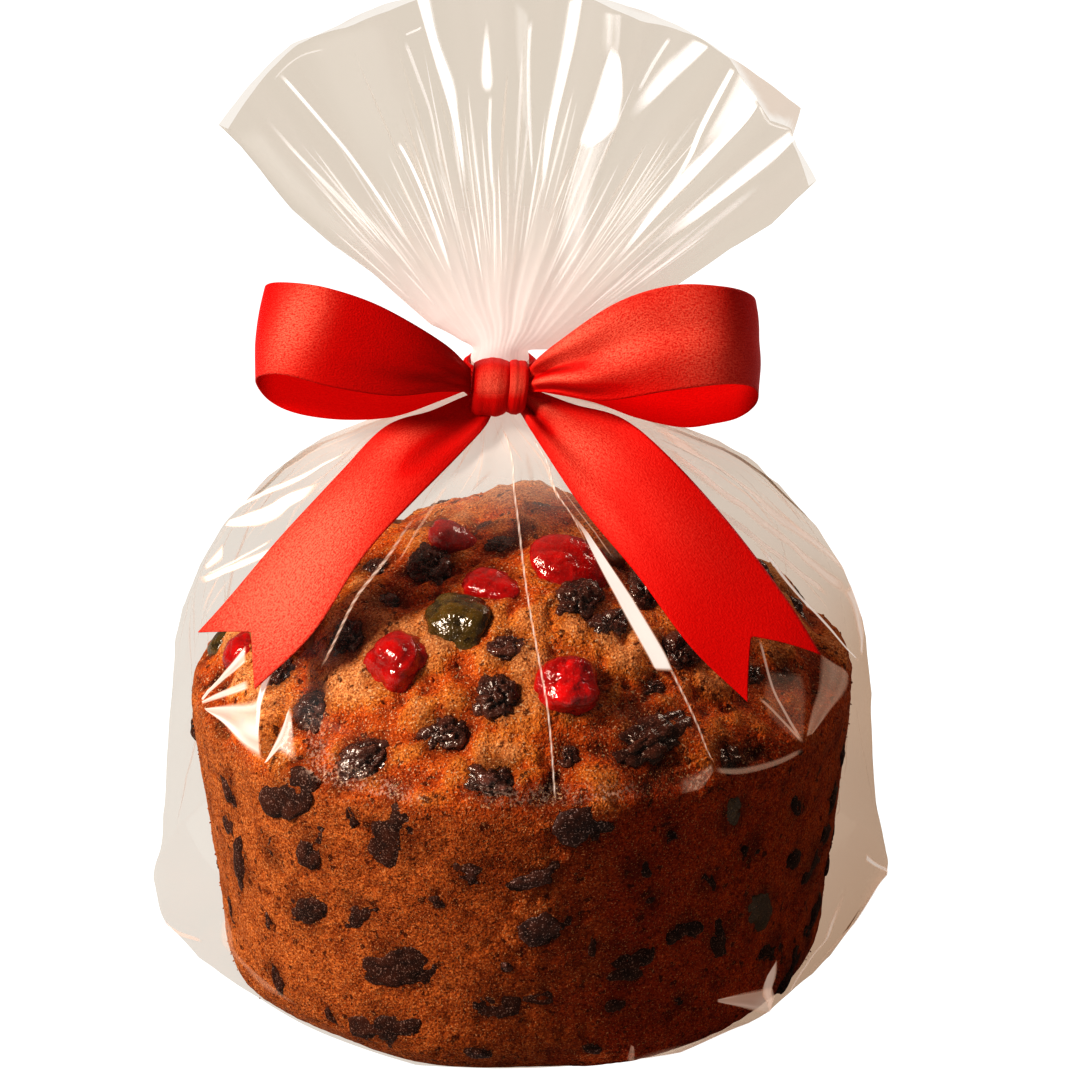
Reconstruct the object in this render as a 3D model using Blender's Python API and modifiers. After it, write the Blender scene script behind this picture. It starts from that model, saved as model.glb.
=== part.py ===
"""Round fruit cake in a clear gathered bag, closed with a satin ribbon bow.

Metres, +Z up. The origin is the centre of the bag's flat base and the front faces -Y.

The sealed bag is one closed solid out to the film's outer shape: a loft of rings that rises
from the flat base over the cake's shoulder to the neck, and opens above the tie into a fan.
The bow is a band round the neck, a knot, two loops and two notched tails, each a ruled strip
of ribbon between two edge curves, thickened.
"""
import bpy
import bmesh
import numpy as np

# Driving dimensions
RING_POINTS = 72            # points round every ring of the bag
PLEATS = 12                 # gathers round the neck, carried up the fan and down the shoulder
RIBBON_THICKNESS = 0.0010
GAP = 0.0003                # clearance between pieces that touch

# Bag body, base to neck: height, half width along X, half depth along Y
BODY_ROWS = np.array((
    (0.0000, 0.0800, 0.0680),
    (0.0040, 0.0870, 0.0740),
    (0.0120, 0.0905, 0.0780),
    (0.0260, 0.0910, 0.0790),
    (0.0500, 0.0890, 0.0815),
    (0.0720, 0.0875, 0.0850),
    (0.0800, 0.0870, 0.0855),
    (0.0920, 0.0855, 0.0755),
    (0.1060, 0.0805, 0.0610),
    (0.1180, 0.0740, 0.0490),
    (0.1300, 0.0645, 0.0365),
    (0.1380, 0.0535, 0.0285),
    (0.1445, 0.0390, 0.0210),
    (0.1500, 0.0210, 0.0140),
))
GATHER_START = 0.100        # height where the shoulder's gathers begin
GATHER_DEPTH = 0.055        # depth of a gather at the neck, as a share of the radius

# Neck, and the fan of film above it
NECK_X = -0.0048
NECK_RADIUS = 0.0074
NECK_LOW = 0.1540
NECK_HIGH = 0.1635
FAN_ORIGIN = 0.1580         # height of the point that the fan's pleats spread from
FAN_HALF_ANGLE = np.radians(49.0)
FAN_LEAN = np.radians(2.0)  # the fan leans to the right
FAN_RADII = np.array((0.012, 0.020, 0.032, 0.046, 0.060, 0.074, 0.088, 0.102))
FAN_MOUTH_DEPTH = 0.0140    # half depth of the fan's open end
FAN_PLEAT_DEPTH = 0.0035    # depth of a pleat at the fan's open end

# Band round the neck, and the knot in front of it
BAND_INNER = NECK_RADIUS + 0.0004
BAND_OUTER = BAND_INNER + 0.0012
BAND_LOW = 0.1550
BAND_HIGH = 0.1631
KNOT_SIZE = (0.0126, 0.0088, 0.0132)
KNOT_CENTRE = (NECK_X, -BAND_OUTER - GAP - KNOT_SIZE[1] / 2, 0.1609)
KNOT_ROUNDING = 0.0028

# Ribbon strips: the two edges of each, in millimetres, from the knot outwards
MM = 0.001
LEFT_LOOP = (
    ((-11.9, -15.0, 166.2), (-18.7, -19.0, 174.5), (-32.8, -22.0, 184.5), (-45.8, -22.5, 189.5),
     (-55.5, -20.0, 190.2), (-60.5, -15.5, 188.2), (-61.0, -11.0, 184.0), (-58.0, -7.8, 179.5),
     (-52.0, -6.8, 176.2), (-42.0, -6.5, 174.4), (-31.0, -7.5, 172.5), (-20.5, -9.2, 168.0),
     (-11.9, -11.0, 165.0)),
    ((-11.9, -16.0, 160.5), (-19.2, -21.0, 162.4), (-30.8, -25.0, 162.8), (-45.1, -26.0, 165.5),
     (-56.7, -24.0, 168.0), (-63.4, -18.0, 165.2), (-64.2, -12.0, 160.3), (-60.8, -8.2, 154.8),
     (-53.5, -7.2, 151.3), (-42.5, -6.8, 149.6), (-30.9, -8.0, 150.9), (-19.5, -9.5, 155.7),
     (-11.9, -11.0, 159.5)),
)
RIGHT_LOOP = (
    ((2.3, -15.0, 166.2), (9.0, -19.0, 174.0), (23.0, -22.0, 185.4), (36.7, -23.0, 190.4),
     (49.0, -21.5, 189.8), (55.6, -16.5, 186.0), (57.0, -11.5, 181.0), (53.6, -8.0, 176.8),
     (47.5, -7.0, 174.2), (38.5, -6.8, 172.6), (28.0, -7.5, 171.2), (15.0, -9.2, 168.0),
     (2.3, -11.0, 165.0)),
    ((2.3, -16.0, 160.5), (9.0, -21.0, 162.1), (20.6, -25.0, 161.5), (36.8, -27.0, 165.0),
     (50.0, -25.0, 165.9), (57.4, -19.0, 162.6), (58.6, -12.5, 156.6), (54.6, -8.8, 151.4),
     (48.0, -7.6, 149.0), (40.0, -7.2, 147.8), (29.0, -8.0, 150.6), (17.4, -9.5, 155.7),
     (2.3, -11.0, 159.5)),
)
LEFT_TAIL = (
    ((-9.5, -13.5, 153.2), (-21.8, -13.5, 154.4), (-32.9, -14.5, 150.7), (-44.0, -18.0, 140.3),
     (-56.2, -23.0, 127.5), (-67.8, -27.0, 114.8), (-79.4, -27.0, 101.5)),
    ((-6.0, -15.5, 153.0), (-8.1, -18.0, 152.0), (-14.0, -21.0, 146.7), (-25.4, -29.0, 137.2),
     (-38.6, -39.0, 125.0), (-50.7, -47.0, 109.1), (-63.9, -50.0, 95.9)),
)
RIGHT_TAIL = (
    ((-3.0, -15.5, 153.1), (1.8, -18.0, 152.0), (6.3, -21.0, 146.7), (16.1, -32.0, 135.3),
     (28.1, -43.0, 124.0), (41.3, -54.0, 109.2), (55.3, -59.0, 96.6)),
    ((0.4, -13.5, 153.2), (13.7, -14.5, 156.6), (25.1, -18.0, 154.4), (36.2, -27.0, 148.0),
     (51.2, -38.0, 134.5), (64.4, -47.0, 119.1), (73.0, -53.0, 106.4)),
)
LOOP_STEPS = 4              # strip cells between two edge points of a loop
TAIL_STEPS = 4
LEFT_NOTCH = 0.010          # depth of the V cut into a tail's end
RIGHT_NOTCH = 0.013

# Colours (linear RGB), roughness
FILM = ((0.86, 0.78, 0.68), 0.15)
SATIN = ((0.70, 0.012, 0.010), 0.38)


def clear_scene():
    """Remove every object that the start-up file holds."""
    for obj in list(bpy.data.objects):
        bpy.data.objects.remove(obj, do_unlink=True)


def principled(name, colour, roughness):
    """A plain material with one colour and roughness."""
    material = bpy.data.materials.new(name)
    material.use_nodes = True
    shader = material.node_tree.nodes["Principled BSDF"]
    shader.inputs["Base Color"].default_value = (*colour, 1.0)
    shader.inputs["Roughness"].default_value = roughness
    shader.inputs["Metallic"].default_value = 0.0
    return material


def add_mesh(name, verts, faces, material, collection):
    """Put points and faces into a new named object with its faces pointing out."""
    mesh = bpy.data.meshes.new(name)
    mesh.from_pydata([tuple(v) for v in verts], [], [tuple(f) for f in faces])
    mesh.validate()
    edit = bmesh.new()
    edit.from_mesh(mesh)
    bmesh.ops.recalc_face_normals(edit, faces=edit.faces)
    edit.to_mesh(mesh)
    edit.free()
    mesh.materials.append(material)
    obj = bpy.data.objects.new(name, mesh)
    collection.objects.link(obj)
    return obj


def ring_angles():
    """Angles of a ring's points, from +X round through +Y."""
    return np.arange(RING_POINTS) * 2.0 * np.pi / RING_POINTS


def body_ring(height, half_width, half_depth):
    """One level ring of the body: an ellipse with gathers that deepen towards the neck."""
    angle = ring_angles()
    rise = np.clip((height - GATHER_START) / (NECK_LOW - GATHER_START), 0.0, 1.0)
    radius = 1.0 - GATHER_DEPTH * rise * (0.5 - 0.5 * np.cos(PLEATS * angle))
    centre_x = NECK_X * np.clip((height - BODY_ROWS[-2, 0]) / (NECK_LOW - BODY_ROWS[-2, 0]), 0, 1)
    return np.column_stack((centre_x + half_width * radius * np.cos(angle),
                            half_depth * radius * np.sin(angle),
                            np.full(RING_POINTS, height)))


def neck_ring(height):
    """One level ring of the tied neck: a circle."""
    angle = ring_angles()
    return np.column_stack((NECK_X + NECK_RADIUS * np.cos(angle),
                            NECK_RADIUS * np.sin(angle),
                            np.full(RING_POINTS, height)))


def fan_ring(radius):
    """One ring of the fan: an arc about the fan's origin, front and back, bowed apart and pleated."""
    angle = ring_angles()
    open_share = (radius - FAN_RADII[0]) / (FAN_RADII[-1] - FAN_RADII[0])
    spread = FAN_LEAN * open_share + FAN_HALF_ANGLE * np.cos(angle)
    half_depth = NECK_RADIUS + (FAN_MOUTH_DEPTH - NECK_RADIUS) * open_share
    pleat = FAN_PLEAT_DEPTH * open_share * np.cos(PLEATS * angle)
    return np.column_stack((NECK_X + radius * np.sin(spread),
                            (half_depth + pleat) * np.sin(angle),
                            FAN_ORIGIN + radius * np.cos(spread)))


def ring_faces(ring_count):
    """Quads between neighbouring rings."""
    step = np.arange(RING_POINTS)
    after = (step + 1) % RING_POINTS
    faces = []
    for ring in range(ring_count - 1):
        low = ring * RING_POINTS
        high = low + RING_POINTS
        faces.extend(np.column_stack((low + step, low + after, high + after, high + step)).tolist())
    return faces


def mouth_faces(first):
    """Close the last ring with strips that join each front point to the back point opposite."""
    half = RING_POINTS // 2
    faces = [(first, first + 1, first + RING_POINTS - 1)]
    for i in range(1, half - 1):
        back = first + RING_POINTS - i
        faces.append((first + i, first + i + 1, back - 1, back))
    faces.append((first + half - 1, first + half, first + half + 1))
    return faces


def build_bag(collection):
    """The sealed bag: base, body, neck and fan in one closed loft."""
    rings = [body_ring(*row) for row in BODY_ROWS]
    rings += [neck_ring(NECK_LOW), neck_ring(NECK_HIGH)]
    rings += [fan_ring(radius) for radius in FAN_RADII]
    faces = [tuple(range(RING_POINTS))[::-1]]
    faces += ring_faces(len(rings))
    faces += mouth_faces((len(rings) - 1) * RING_POINTS)
    bag = add_mesh("bag", np.vstack(rings), faces, principled("bag_film", *FILM), collection)
    bag.data.shade_smooth()
    bag.data.set_sharp_from_angle(angle=np.radians(35.0))


def smooth_curve(points, steps):
    """Points on a Catmull-Rom curve through the given ones, with steps spans between two of them."""
    knots = np.asarray(points) * MM
    padded = np.vstack((2 * knots[0] - knots[1], knots, 2 * knots[-1] - knots[-2]))
    t = np.linspace(0.0, 1.0, steps, endpoint=False)[:, None]
    spans = []
    for i in range(len(knots) - 1):
        a, b, c, d = padded[i:i + 4]
        spans.append(0.5 * (2 * b + (c - a) * t + (2 * a - 5 * b + 4 * c - d) * t ** 2
                            + (3 * b - a - 3 * c + d) * t ** 3))
    return np.vstack(spans + [knots[-1:]])


def build_strip(name, edges, steps, notch, material, collection):
    """A ribbon strip ruled between two edge curves, with a V notch of the given depth at its end."""
    first = smooth_curve(edges[0], steps)
    second = smooth_curve(edges[1], steps)
    middle = (first + second) / 2
    if notch > 0.0:
        length = np.append(0.0, np.cumsum(np.linalg.norm(np.diff(middle, axis=0), axis=1)))
        shrunk = length * (length[-1] - notch) / length[-1]
        middle = np.column_stack([np.interp(shrunk, length, middle[:, axis]) for axis in range(3)])
    count = len(first)
    row = np.arange(count - 1)
    faces = []
    for low in (0, count):
        faces.extend(np.column_stack((low + row, low + row + 1,
                                      low + count + row + 1, low + count + row)).tolist())
    strip = add_mesh(name, np.vstack((first, middle, second)), faces, material, collection)
    wall = strip.modifiers.new("thickness", "SOLIDIFY")
    wall.thickness = RIBBON_THICKNESS
    wall.offset = 0.0
    wall.use_even_offset = False
    strip.data.shade_smooth()


def build_band(material, collection):
    """The ribbon's turn round the neck: a rectangular section turned about the neck's axis."""
    profile = ((BAND_INNER, BAND_HIGH), (BAND_OUTER, BAND_HIGH),
               (BAND_OUTER, BAND_LOW), (BAND_INNER, BAND_LOW))
    mesh = bpy.data.meshes.new("bow_band")
    mesh.from_pydata([(radius, 0.0, height) for radius, height in profile],
                     [(0, 1), (1, 2), (2, 3), (3, 0)], [])
    mesh.materials.append(material)
    band = bpy.data.objects.new("bow_band", mesh)
    band.location = (NECK_X, 0.0, 0.0)
    collection.objects.link(band)
    turn = band.modifiers.new("turn", "SCREW")
    turn.axis = "Z"
    turn.steps = 48
    turn.render_steps = 48
    turn.use_merge_vertices = True
    turn.merge_threshold = 0.0001


def build_knot(material, collection):
    """The knot: a rounded block in front of the band."""
    bpy.ops.mesh.primitive_cube_add(size=1.0, location=KNOT_CENTRE)
    knot = bpy.context.object
    knot.name = "bow_knot"
    knot.data.name = "bow_knot"
    knot.scale = KNOT_SIZE
    bpy.ops.object.transform_apply(location=False, rotation=False, scale=True)
    knot.data.materials.append(material)
    for owner in list(knot.users_collection):
        owner.objects.unlink(knot)
    collection.objects.link(knot)
    bevel = knot.modifiers.new("rounding", "BEVEL")
    bevel.width = KNOT_ROUNDING
    bevel.segments = 4
    bevel.limit_method = "NONE"
    knot.data.shade_smooth()


def main():
    """Build the bag, then the bow from the neck outwards."""
    clear_scene()
    collection = bpy.data.collections.new("fruit_cake")
    bpy.context.scene.collection.children.link(collection)
    build_bag(collection)
    satin = principled("bow_satin", *SATIN)
    build_band(satin, collection)
    build_knot(satin, collection)
    build_strip("bow_loop_left", LEFT_LOOP, LOOP_STEPS, 0.0, satin, collection)
    build_strip("bow_loop_right", RIGHT_LOOP, LOOP_STEPS, 0.0, satin, collection)
    build_strip("bow_tail_left", LEFT_TAIL, TAIL_STEPS, LEFT_NOTCH, satin, collection)
    build_strip("bow_tail_right", RIGHT_TAIL, TAIL_STEPS, RIGHT_NOTCH, satin, collection)


main()
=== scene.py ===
"""Looks of a round fruit cake in a clear gathered bag, tied with a satin ribbon bow.

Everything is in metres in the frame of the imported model: +Z up, the front towards -Y and the
origin at the centre of the flat base. Angles round the cake are measured from +X towards +Y,
so -90 degrees is the front.
"""
from __future__ import annotations

import logging
import math
from dataclasses import dataclass
from enum import Enum
from typing import Callable, Sequence

import bpy
import numpy as np
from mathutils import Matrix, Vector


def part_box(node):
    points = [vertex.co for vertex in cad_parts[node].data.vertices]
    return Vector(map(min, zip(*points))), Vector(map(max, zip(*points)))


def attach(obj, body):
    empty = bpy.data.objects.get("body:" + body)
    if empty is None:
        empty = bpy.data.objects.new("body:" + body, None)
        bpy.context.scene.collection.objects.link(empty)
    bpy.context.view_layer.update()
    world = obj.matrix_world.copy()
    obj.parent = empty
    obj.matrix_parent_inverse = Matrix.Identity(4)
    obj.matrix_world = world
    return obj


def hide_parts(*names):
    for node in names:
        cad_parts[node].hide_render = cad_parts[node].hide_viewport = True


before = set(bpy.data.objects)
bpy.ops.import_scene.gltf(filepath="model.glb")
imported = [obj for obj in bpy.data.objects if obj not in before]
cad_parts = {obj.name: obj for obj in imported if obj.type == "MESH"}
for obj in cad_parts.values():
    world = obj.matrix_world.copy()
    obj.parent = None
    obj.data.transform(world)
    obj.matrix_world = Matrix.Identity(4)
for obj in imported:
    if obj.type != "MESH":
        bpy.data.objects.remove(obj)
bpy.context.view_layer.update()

LOG = logging.getLogger("fruit_cake")
MM = 0.001
BODY = "root"
Array = np.ndarray


# ---------------------------------------------------------------- small mathematics

def smoothstep(value: Array, low: float, high: float) -> Array:
    """Rise from 0 at low to 1 at high along the cubic 3t^2 - 2t^3."""
    t = np.clip((value - low) / (high - low), 0.0, 1.0)
    return t * t * (3.0 - 2.0 * t)


def unit(vectors: Array) -> Array:
    """Vectors scaled to length one along the last axis."""
    return vectors / np.maximum(np.linalg.norm(vectors, axis=-1, keepdims=True), 1e-12)


def smooth_curve(points: Sequence[Sequence[float]], count: int) -> Array:
    """Points on a Catmull-Rom curve, evenly spaced along its length.

    Each span blends its two end points and their neighbours with the usual cubic, and the
    dense curve is then read at equal steps of arc length.

    Args:
        points: the curve's own points, in order.
        count: how many points to return.

    Returns:
        An array of count rows.
    """
    knots = np.asarray(points, float)
    padded = np.vstack((2 * knots[0] - knots[1], knots, 2 * knots[-1] - knots[-2]))
    t = np.linspace(0.0, 1.0, 24, endpoint=False)[:, None, None]
    a, b, c, d = (padded[i:len(padded) - 3 + i] for i in range(4))
    dense = 0.5 * (2 * b + (c - a) * t + (2 * a - 5 * b + 4 * c - d) * t ** 2
                   + (3 * b - a - 3 * c + d) * t ** 3)
    dense = np.vstack((dense.transpose(1, 0, 2).reshape(-1, knots.shape[1]), knots[-1:]))
    run = np.append(0.0, np.cumsum(np.linalg.norm(np.diff(dense, axis=0), axis=1)))
    wanted = np.linspace(0.0, run[-1], count)
    return np.column_stack([np.interp(wanted, run, dense[:, k]) for k in range(dense.shape[1])])


@dataclass(frozen=True)
class Noise:
    """Smooth random values: a hash at each point of a cubic lattice, blended between points."""

    seed: int

    def _hash(self, cell: Array) -> Array:
        """A repeatable value from 0 to 1 for each whole-number cell."""
        x, y, z = (cell[..., k].astype(np.uint32) for k in range(3))
        h = (x * np.uint32(73856093)) ^ (y * np.uint32(19349663)) ^ (z * np.uint32(83492791))
        h = (h ^ np.uint32(self.seed * 2654435 + 97)) * np.uint32(2246822519)
        h = (h ^ (h >> np.uint32(13))) * np.uint32(3266489917)
        return (h ^ (h >> np.uint32(16))).astype(float) / 4294967295.0

    def smooth(self, points: Array, size: float) -> Array:
        """Values from -1 to 1 whose bumps are about size apart.

        Args:
            points: positions, with the last axis holding x, y and z.
            size: the lattice spacing.

        Returns:
            One value for each position: the eight corner hashes of its cell, weighted by the
            quintic 6t^5 - 15t^4 + 10t^3 along each axis.
        """
        scaled = points / size
        cell = np.floor(scaled).astype(np.int64)
        t = scaled - cell
        w = t * t * t * (t * (t * 6 - 15) + 10)
        total = np.zeros(points.shape[:-1])
        for corner in np.ndindex(2, 2, 2):
            step = np.array(corner)
            weight = np.prod(np.where(step, w, 1 - w), axis=-1)
            total += weight * self._hash(cell + step)
        return total * 2.0 - 1.0

    def layered(self, points: Array, size: float, octaves: int = 3) -> Array:
        """A sum of smooth noise, each octave half the size and half the height of the last."""
        parts = [0.5 ** k * self.smooth(points + 17.3 * k * size, size * 0.5 ** k)
                 for k in range(octaves)]
        return sum(parts) / (2.0 - 0.5 ** (octaves - 1))

    def ridged(self, points: Array, size: float) -> Array:
        """Sharp ridges from 0 to 1: one minus the size of the smooth noise."""
        return 1.0 - np.abs(self.smooth(points, size))

    def pores(self, points: Array, size: float) -> Array:
        """The distance to the nearest of one random dot in each cell, in cells."""
        scaled = points / size
        cell = np.floor(scaled).astype(np.int64)
        nearest = np.full(points.shape[:-1], 9.0)
        for corner in np.ndindex(3, 3, 3):
            near = cell + np.array(corner) - 1
            dot = np.stack([Noise(self.seed + 11 * (k + 1))._hash(near) for k in range(3)], axis=-1)
            nearest = np.minimum(nearest, np.linalg.norm(near + dot - scaled, axis=-1))
        return nearest


# ---------------------------------------------------------------- mesh pieces

def grid_faces(rows: int, columns: int, wrap: bool = False) -> Array:
    """Quads of a grid of points stored row by row, closed across the columns if wrap is set."""
    row = np.arange(rows - 1)[:, None] * columns
    column = np.arange(columns if wrap else columns - 1)[None, :]
    after = (column + 1) % columns
    quads = np.stack((row + column, row + after, row + columns + after, row + columns + column),
                     axis=-1)
    return quads.reshape(-1, 4)


def sphere_grid(rings: int, columns: int) -> tuple[Array, list[list[int]]]:
    """Directions and faces of a closed ball: rings of points between two single poles.

    A point at turn a and rise b is (cos a cos b, sin a cos b, sin b).

    Args:
        rings: rings of points between the poles.
        columns: points in each ring.

    Returns:
        The unit directions, the poles first and last, and the faces as lists of indices.
    """
    rise = np.linspace(-math.pi / 2, math.pi / 2, rings + 2)[1:-1][:, None]
    turn = np.arange(columns)[None, :] * 2 * math.pi / columns
    ring = np.stack((np.cos(turn) * np.cos(rise), np.sin(turn) * np.cos(rise),
                     np.sin(rise) + 0 * turn), axis=-1).reshape(-1, 3)
    points = np.vstack(([[0, 0, -1]], ring, [[0, 0, 1]]))
    faces = (grid_faces(rings, columns, wrap=True) + 1).tolist()
    step = np.arange(columns)
    after = (step + 1) % columns
    top = (rings - 1) * columns + 1
    faces += np.column_stack((np.zeros(columns, int), after + 1, step + 1)).tolist()
    faces += np.column_stack((np.full(columns, len(points) - 1), top + step, top + after)).tolist()
    return points, faces


def build_piece(name: str, points: Array, faces: Sequence[Sequence[int]],
                material: bpy.types.Material, uv: Array | None = None,
                attributes: dict[str, Array] | None = None) -> bpy.types.Object:
    """Make a smooth-shaded mesh piece that rides on the body.

    Args:
        name: the piece's name.
        points: positions in metres.
        faces: lists of point indices.
        material: its finish.
        uv: two coordinates for each point, if the finish follows the surface.
        attributes: named values for each point that the finish reads.

    Returns:
        The new object, in place and riding.
    """
    mesh = bpy.data.meshes.new(name)
    mesh.from_pydata(points.reshape(-1, 3), [], faces)
    mesh.materials.append(material)
    mesh.shade_smooth()
    if uv is not None:
        layer = mesh.uv_layers.new(name="Surface")
        corner = np.zeros(len(mesh.loops), np.int32)
        mesh.loops.foreach_get("vertex_index", corner)
        layer.data.foreach_set("uv", uv.reshape(-1, 2)[corner].astype(np.float32).ravel())
    for key, values in (attributes or {}).items():
        layer = mesh.attributes.new(key, "FLOAT", "POINT")
        layer.data.foreach_set("value", np.asarray(values, np.float32).ravel())
    piece = bpy.data.objects.new(name, mesh)
    bpy.context.scene.collection.objects.link(piece)
    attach(piece, BODY)
    LOG.info("%s: %d points, %d faces", name, len(mesh.vertices), len(mesh.polygons))
    return piece


# ---------------------------------------------------------------- finishes

class NodeTree:
    """A short way to write a material's nodes."""

    def __init__(self, name: str) -> None:
        """Start an empty material with an output node."""
        self.material = bpy.data.materials.new(name)
        self.material.use_nodes = True
        self.tree = self.material.node_tree
        self.tree.nodes.clear()
        self.output = self.tree.nodes.new("ShaderNodeOutputMaterial")

    def add(self, kind: str, inputs: dict[str | int, object] | None = None,
            **settings: object) -> bpy.types.Node:
        """Add a node, set its options, and set or link its inputs.

        Args:
            kind: the node's type name after "ShaderNode".
            inputs: a value or another node's output socket for each named input.
            **settings: attributes of the node.

        Returns:
            The node.
        """
        node = self.tree.nodes.new("ShaderNode" + kind)
        for key, value in settings.items():
            setattr(node, key, value)
        for key, value in (inputs or {}).items():
            if isinstance(value, bpy.types.NodeSocket):
                self.tree.links.new(value, node.inputs[key])
            else:
                node.inputs[key].default_value = value
        return node

    def place(self) -> bpy.types.NodeSocket:
        """The Object coordinates."""
        return self.add("TexCoord").outputs["Object"]

    def value_of(self, attribute: str) -> bpy.types.NodeSocket:
        """A named value of the piece's points."""
        return self.add("Attribute", attribute_name=attribute).outputs["Fac"]

    def noise(self, scale: float, detail: float = 2.0, roughness: float = 0.5,
              vector: bpy.types.NodeSocket | None = None) -> bpy.types.NodeSocket:
        """Noise over the Object coordinates, scale in bumps a metre."""
        node = self.add("TexNoise", {"Vector": vector or self.place(), "Scale": scale,
                                     "Detail": detail, "Roughness": roughness})
        return node.outputs["Fac"]

    def ramp(self, fac: bpy.types.NodeSocket,
             stops: Sequence[tuple[float, Sequence[float]]]) -> bpy.types.NodeSocket:
        """A colour ramp through (position, linear RGB) stops."""
        node = self.add("ValToRGB", {"Fac": fac})
        elements = node.color_ramp.elements
        elements[0].position, elements[1].position = stops[0][0], stops[-1][0]
        for position, _ in stops[1:-1]:
            elements.new(position)
        for element, (_, colour) in zip(elements, stops):
            element.color = (*colour, 1.0)
        return node.outputs["Color"]

    def span(self, value: bpy.types.NodeSocket, low: float, high: float,
             to_low: float = 0.0, to_high: float = 1.0) -> bpy.types.NodeSocket:
        """A value carried from one range to another and kept inside it."""
        node = self.add("MapRange", {"Value": value, "From Min": low, "From Max": high,
                                     "To Min": to_low, "To Max": to_high}, clamp=True)
        return node.outputs["Result"]

    def maths(self, operation: str, first: object, second: object = 0.0) -> bpy.types.NodeSocket:
        """The result of a Math node."""
        return self.add("Math", {0: first, 1: second}, operation=operation).outputs["Value"]

    def blend(self, fac: object, first: object, second: object,
              mode: str = "MIX") -> bpy.types.NodeSocket:
        """Two colours mixed by fac; plain colours are linear RGB."""
        node = self.add("Mix", data_type="RGBA", blend_type=mode)
        for index, value in ((0, fac), (6, first), (7, second)):
            if isinstance(value, bpy.types.NodeSocket):
                self.tree.links.new(value, node.inputs[index])
            elif index == 0:
                node.inputs[index].default_value = value
            else:
                node.inputs[index].default_value = (*value, 1.0)
        return node.outputs[2]

    def bump(self, height: bpy.types.NodeSocket, distance: float, strength: float = 1.0,
             normal: bpy.types.NodeSocket | None = None) -> bpy.types.NodeSocket:
        """A bump normal of the given depth in metres."""
        inputs: dict[str | int, object] = {"Height": height, "Distance": distance,
                                           "Strength": strength}
        if normal is not None:
            inputs["Normal"] = normal
        return self.add("Bump", inputs).outputs["Normal"]

    def finish(self, shader: bpy.types.NodeSocket) -> bpy.types.Material:
        """Send a shader to the output and return the material."""
        self.tree.links.new(shader, self.output.inputs["Surface"])
        return self.material


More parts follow.
